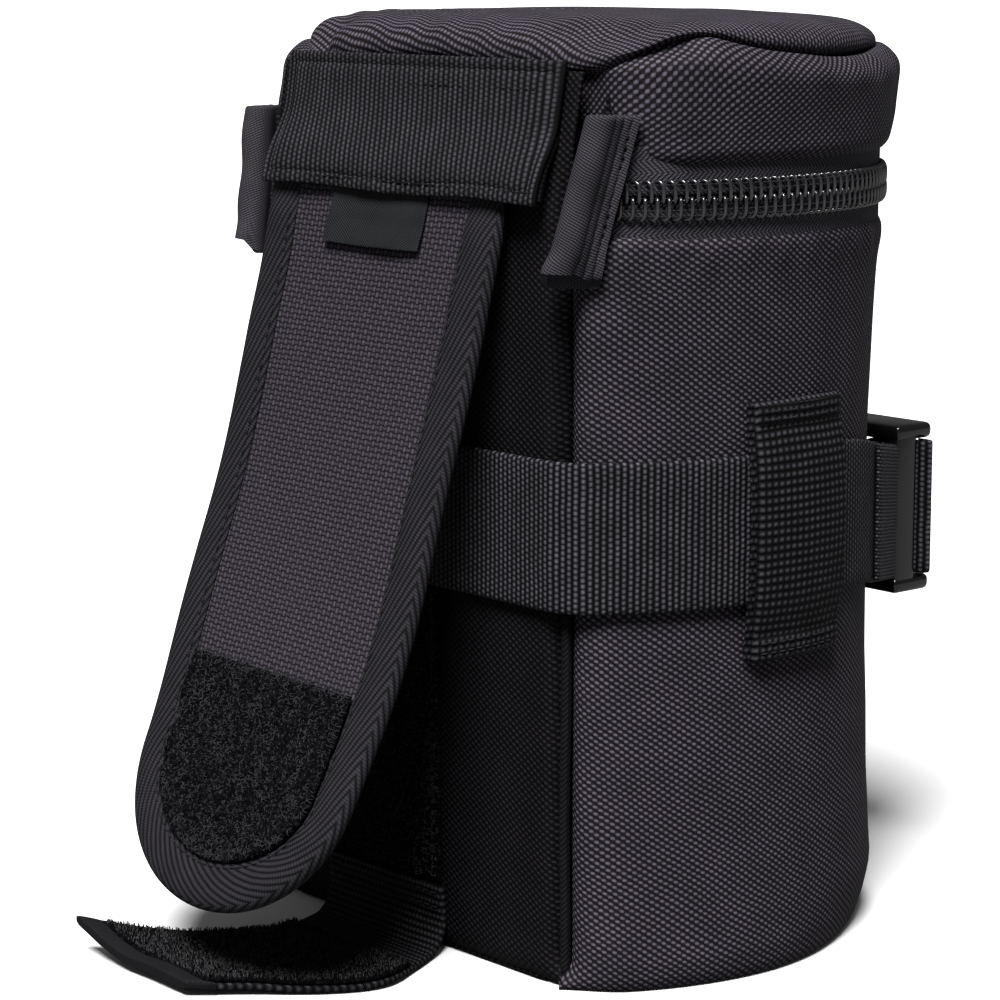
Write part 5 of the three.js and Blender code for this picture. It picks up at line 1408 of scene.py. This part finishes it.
def build_sliders():
    """Slider plates, post and bridge, and a pull hanging from the bridge."""
    front, back, bar = 3.1, -2.9, 5.9
    thin, thick = 0.6, 0.7
    # the pull's eye round the bridge
    eye_turns, eye_sides = 18, 8
    W, Q = grid(TURN * np.arange(eye_turns) / eye_turns, TURN * np.arange(eye_sides) / eye_sides)
    reach = 1.45 + 0.45 * np.cos(Q)
    eye = stack(1.5 * np.sin(Q), bar + reach * np.cos(W), reach * np.sin(W)).reshape(-1, 3)
    ids = np.arange(len(eye)).reshape(eye_turns, eye_sides)
    following = np.roll(ids, -1, axis=0)
    corners = stack(ids, following, np.roll(following, -1, axis=1), np.roll(ids, -1, axis=1))
    eye_faces = corners.reshape(-1, 4).tolist()
    for side, sign in SIDES:
        angle = math.radians(7) * -sign

        def turned(v, angle=angle):
            x, y, z = v[:, 0], v[:, 1] + R, v[:, 2] + ZIP_Z
            return stack(x * math.cos(angle) - y * math.sin(angle), x * math.sin(angle) + y * math.cos(angle), z)

        blocks = [
            ((-5.5, front - 1.1, -3.5), (5.5, front, 3.5), 0.5), ((-5.5, back - 1, -3.5), (5.5, back, 3.5), 0.45),
            ((-1.5, back - 0.5, -thin), (1.5, front - 0.5, thin), 0.3),
            ((-3.5, front - 0.5, -thin), (-2.3, bar + thin, thin), 0.35),
            ((2.3, front - 0.5, -thin), (3.5, bar + thin, thin), 0.35),
            ((-3.5, bar - thin, -thin), (3.5, bar + thin, thin), 0.45),
        ]
        hard(f"slider_{side}", blocks, SLIDER, f"slider_{side}", "painted_slider",
             f"zip_slider_{side}", turn=turned)
        # the pull's flat tail, with a long hole and a rounded end
        plates = ((-3, 3, -6.0, -1.6, 0.6), (-3, -1.4, -24, -4, 0.6), (1.4, 3, -24, -4, 0.6),
                  (-3, 3, -25, -20, 0.65))
        tail = [((x0, bar - thick, z0), (x1, bar + thick, z1), r) for x0, x1, z0, z1, r in plates]
        verts, faces = join_blocks(tail, eye, eye_faces)
        verts = turned(verts)
        pull = make(f"pull_{side}", verts, faces, verts[:, [0, 2]], SLIDER)
        fix_normals(pull)
        place(pull, f"pull_{side}", "painted_slider", f"zip_pull_{side}")


# ---------------------------------------------------------------- floor, light, camera
def seen_as(tree, seen, unseen):
    """A value for camera rays and another for the rays that light the object, and the node of their kinds."""
    ray = tree.nodes.new("ShaderNodeLightPath")
    tone = tree.nodes.new("ShaderNodeMapRange")
    set_inputs(tone, To_Min=unseen, To_Max=seen)
    tree.links.new(ray.outputs["Is Camera Ray"], tone.inputs["Value"])
    return tone.outputs[0], ray


def add_object(name, data, **values):
    obj = bpy.data.objects.new(name, data)
    for key, value in values.items():
        setattr(obj, key, value)
    bpy.context.scene.collection.objects.link(obj)
    return obj


def build_stage():
    mesh = bpy.data.meshes.new("floor")
    s = 30.0
    mesh.from_pydata([(-s, -s, 0), (s, -s, 0), (s, s, 0), (-s, s, 0)], [], [(0, 1, 2, 3)])
    material = bpy.data.materials.new("floor")
    material.use_nodes = True
    tree = material.node_tree
    shader = tree.nodes["Principled BSDF"]
    set_inputs(shader, Roughness=0.9, Specular_IOR_Level=0.1)
    tone, ray = seen_as(tree, 0.9, 0.12)
    glow = tree.nodes.new("ShaderNodeMath")
    glow.operation = "MULTIPLY_ADD"
    glow.inputs[1].default_value = 0.1
    tree.links.new(ray.outputs["Is Glossy Ray"], glow.inputs[0])
    tree.links.new(tone, glow.inputs[2])
    tree.links.new(glow.outputs[0], shader.inputs["Base Color"])
    mesh.materials.append(material)
    add_object("floor", mesh)

    scene = bpy.context.scene
    scene.world = bpy.data.worlds.new("studio")
    scene.world.use_nodes = True
    tree = scene.world.node_tree
    sky = tree.nodes["Background"]
    set_inputs(sky, Color=(1, 1, 1, 1))
    tree.links.new(seen_as(tree, 1.0, 0.13)[0], sky.inputs["Strength"])

    sun = bpy.data.lights.new("key", "SUN")
    sun.energy = 7.2
    sun.angle = math.radians(26)
    add_object("key", sun, rotation_euler=Vector((0.29, -0.44, 0.85)).to_track_quat("Z", "Y").to_euler())
    lens = bpy.data.cameras.new("camera")
    lens.sensor_width = 36
    lens.lens = 115.2
    scene.camera = add_object("camera", lens, location=(0.50417, -0.45333, 0.2063),
                              rotation_euler=(math.radians(80.16), 0, math.radians(49.2)))
    scene.view_settings.view_transform = "Standard"


build_stage()
build_body()
build_lid()
build_zip()
build_inside()
build_tabs()
build_band()
build_flap()
build_strap()
build_belt()
build_side_loops()
build_buckle()
build_sliders()
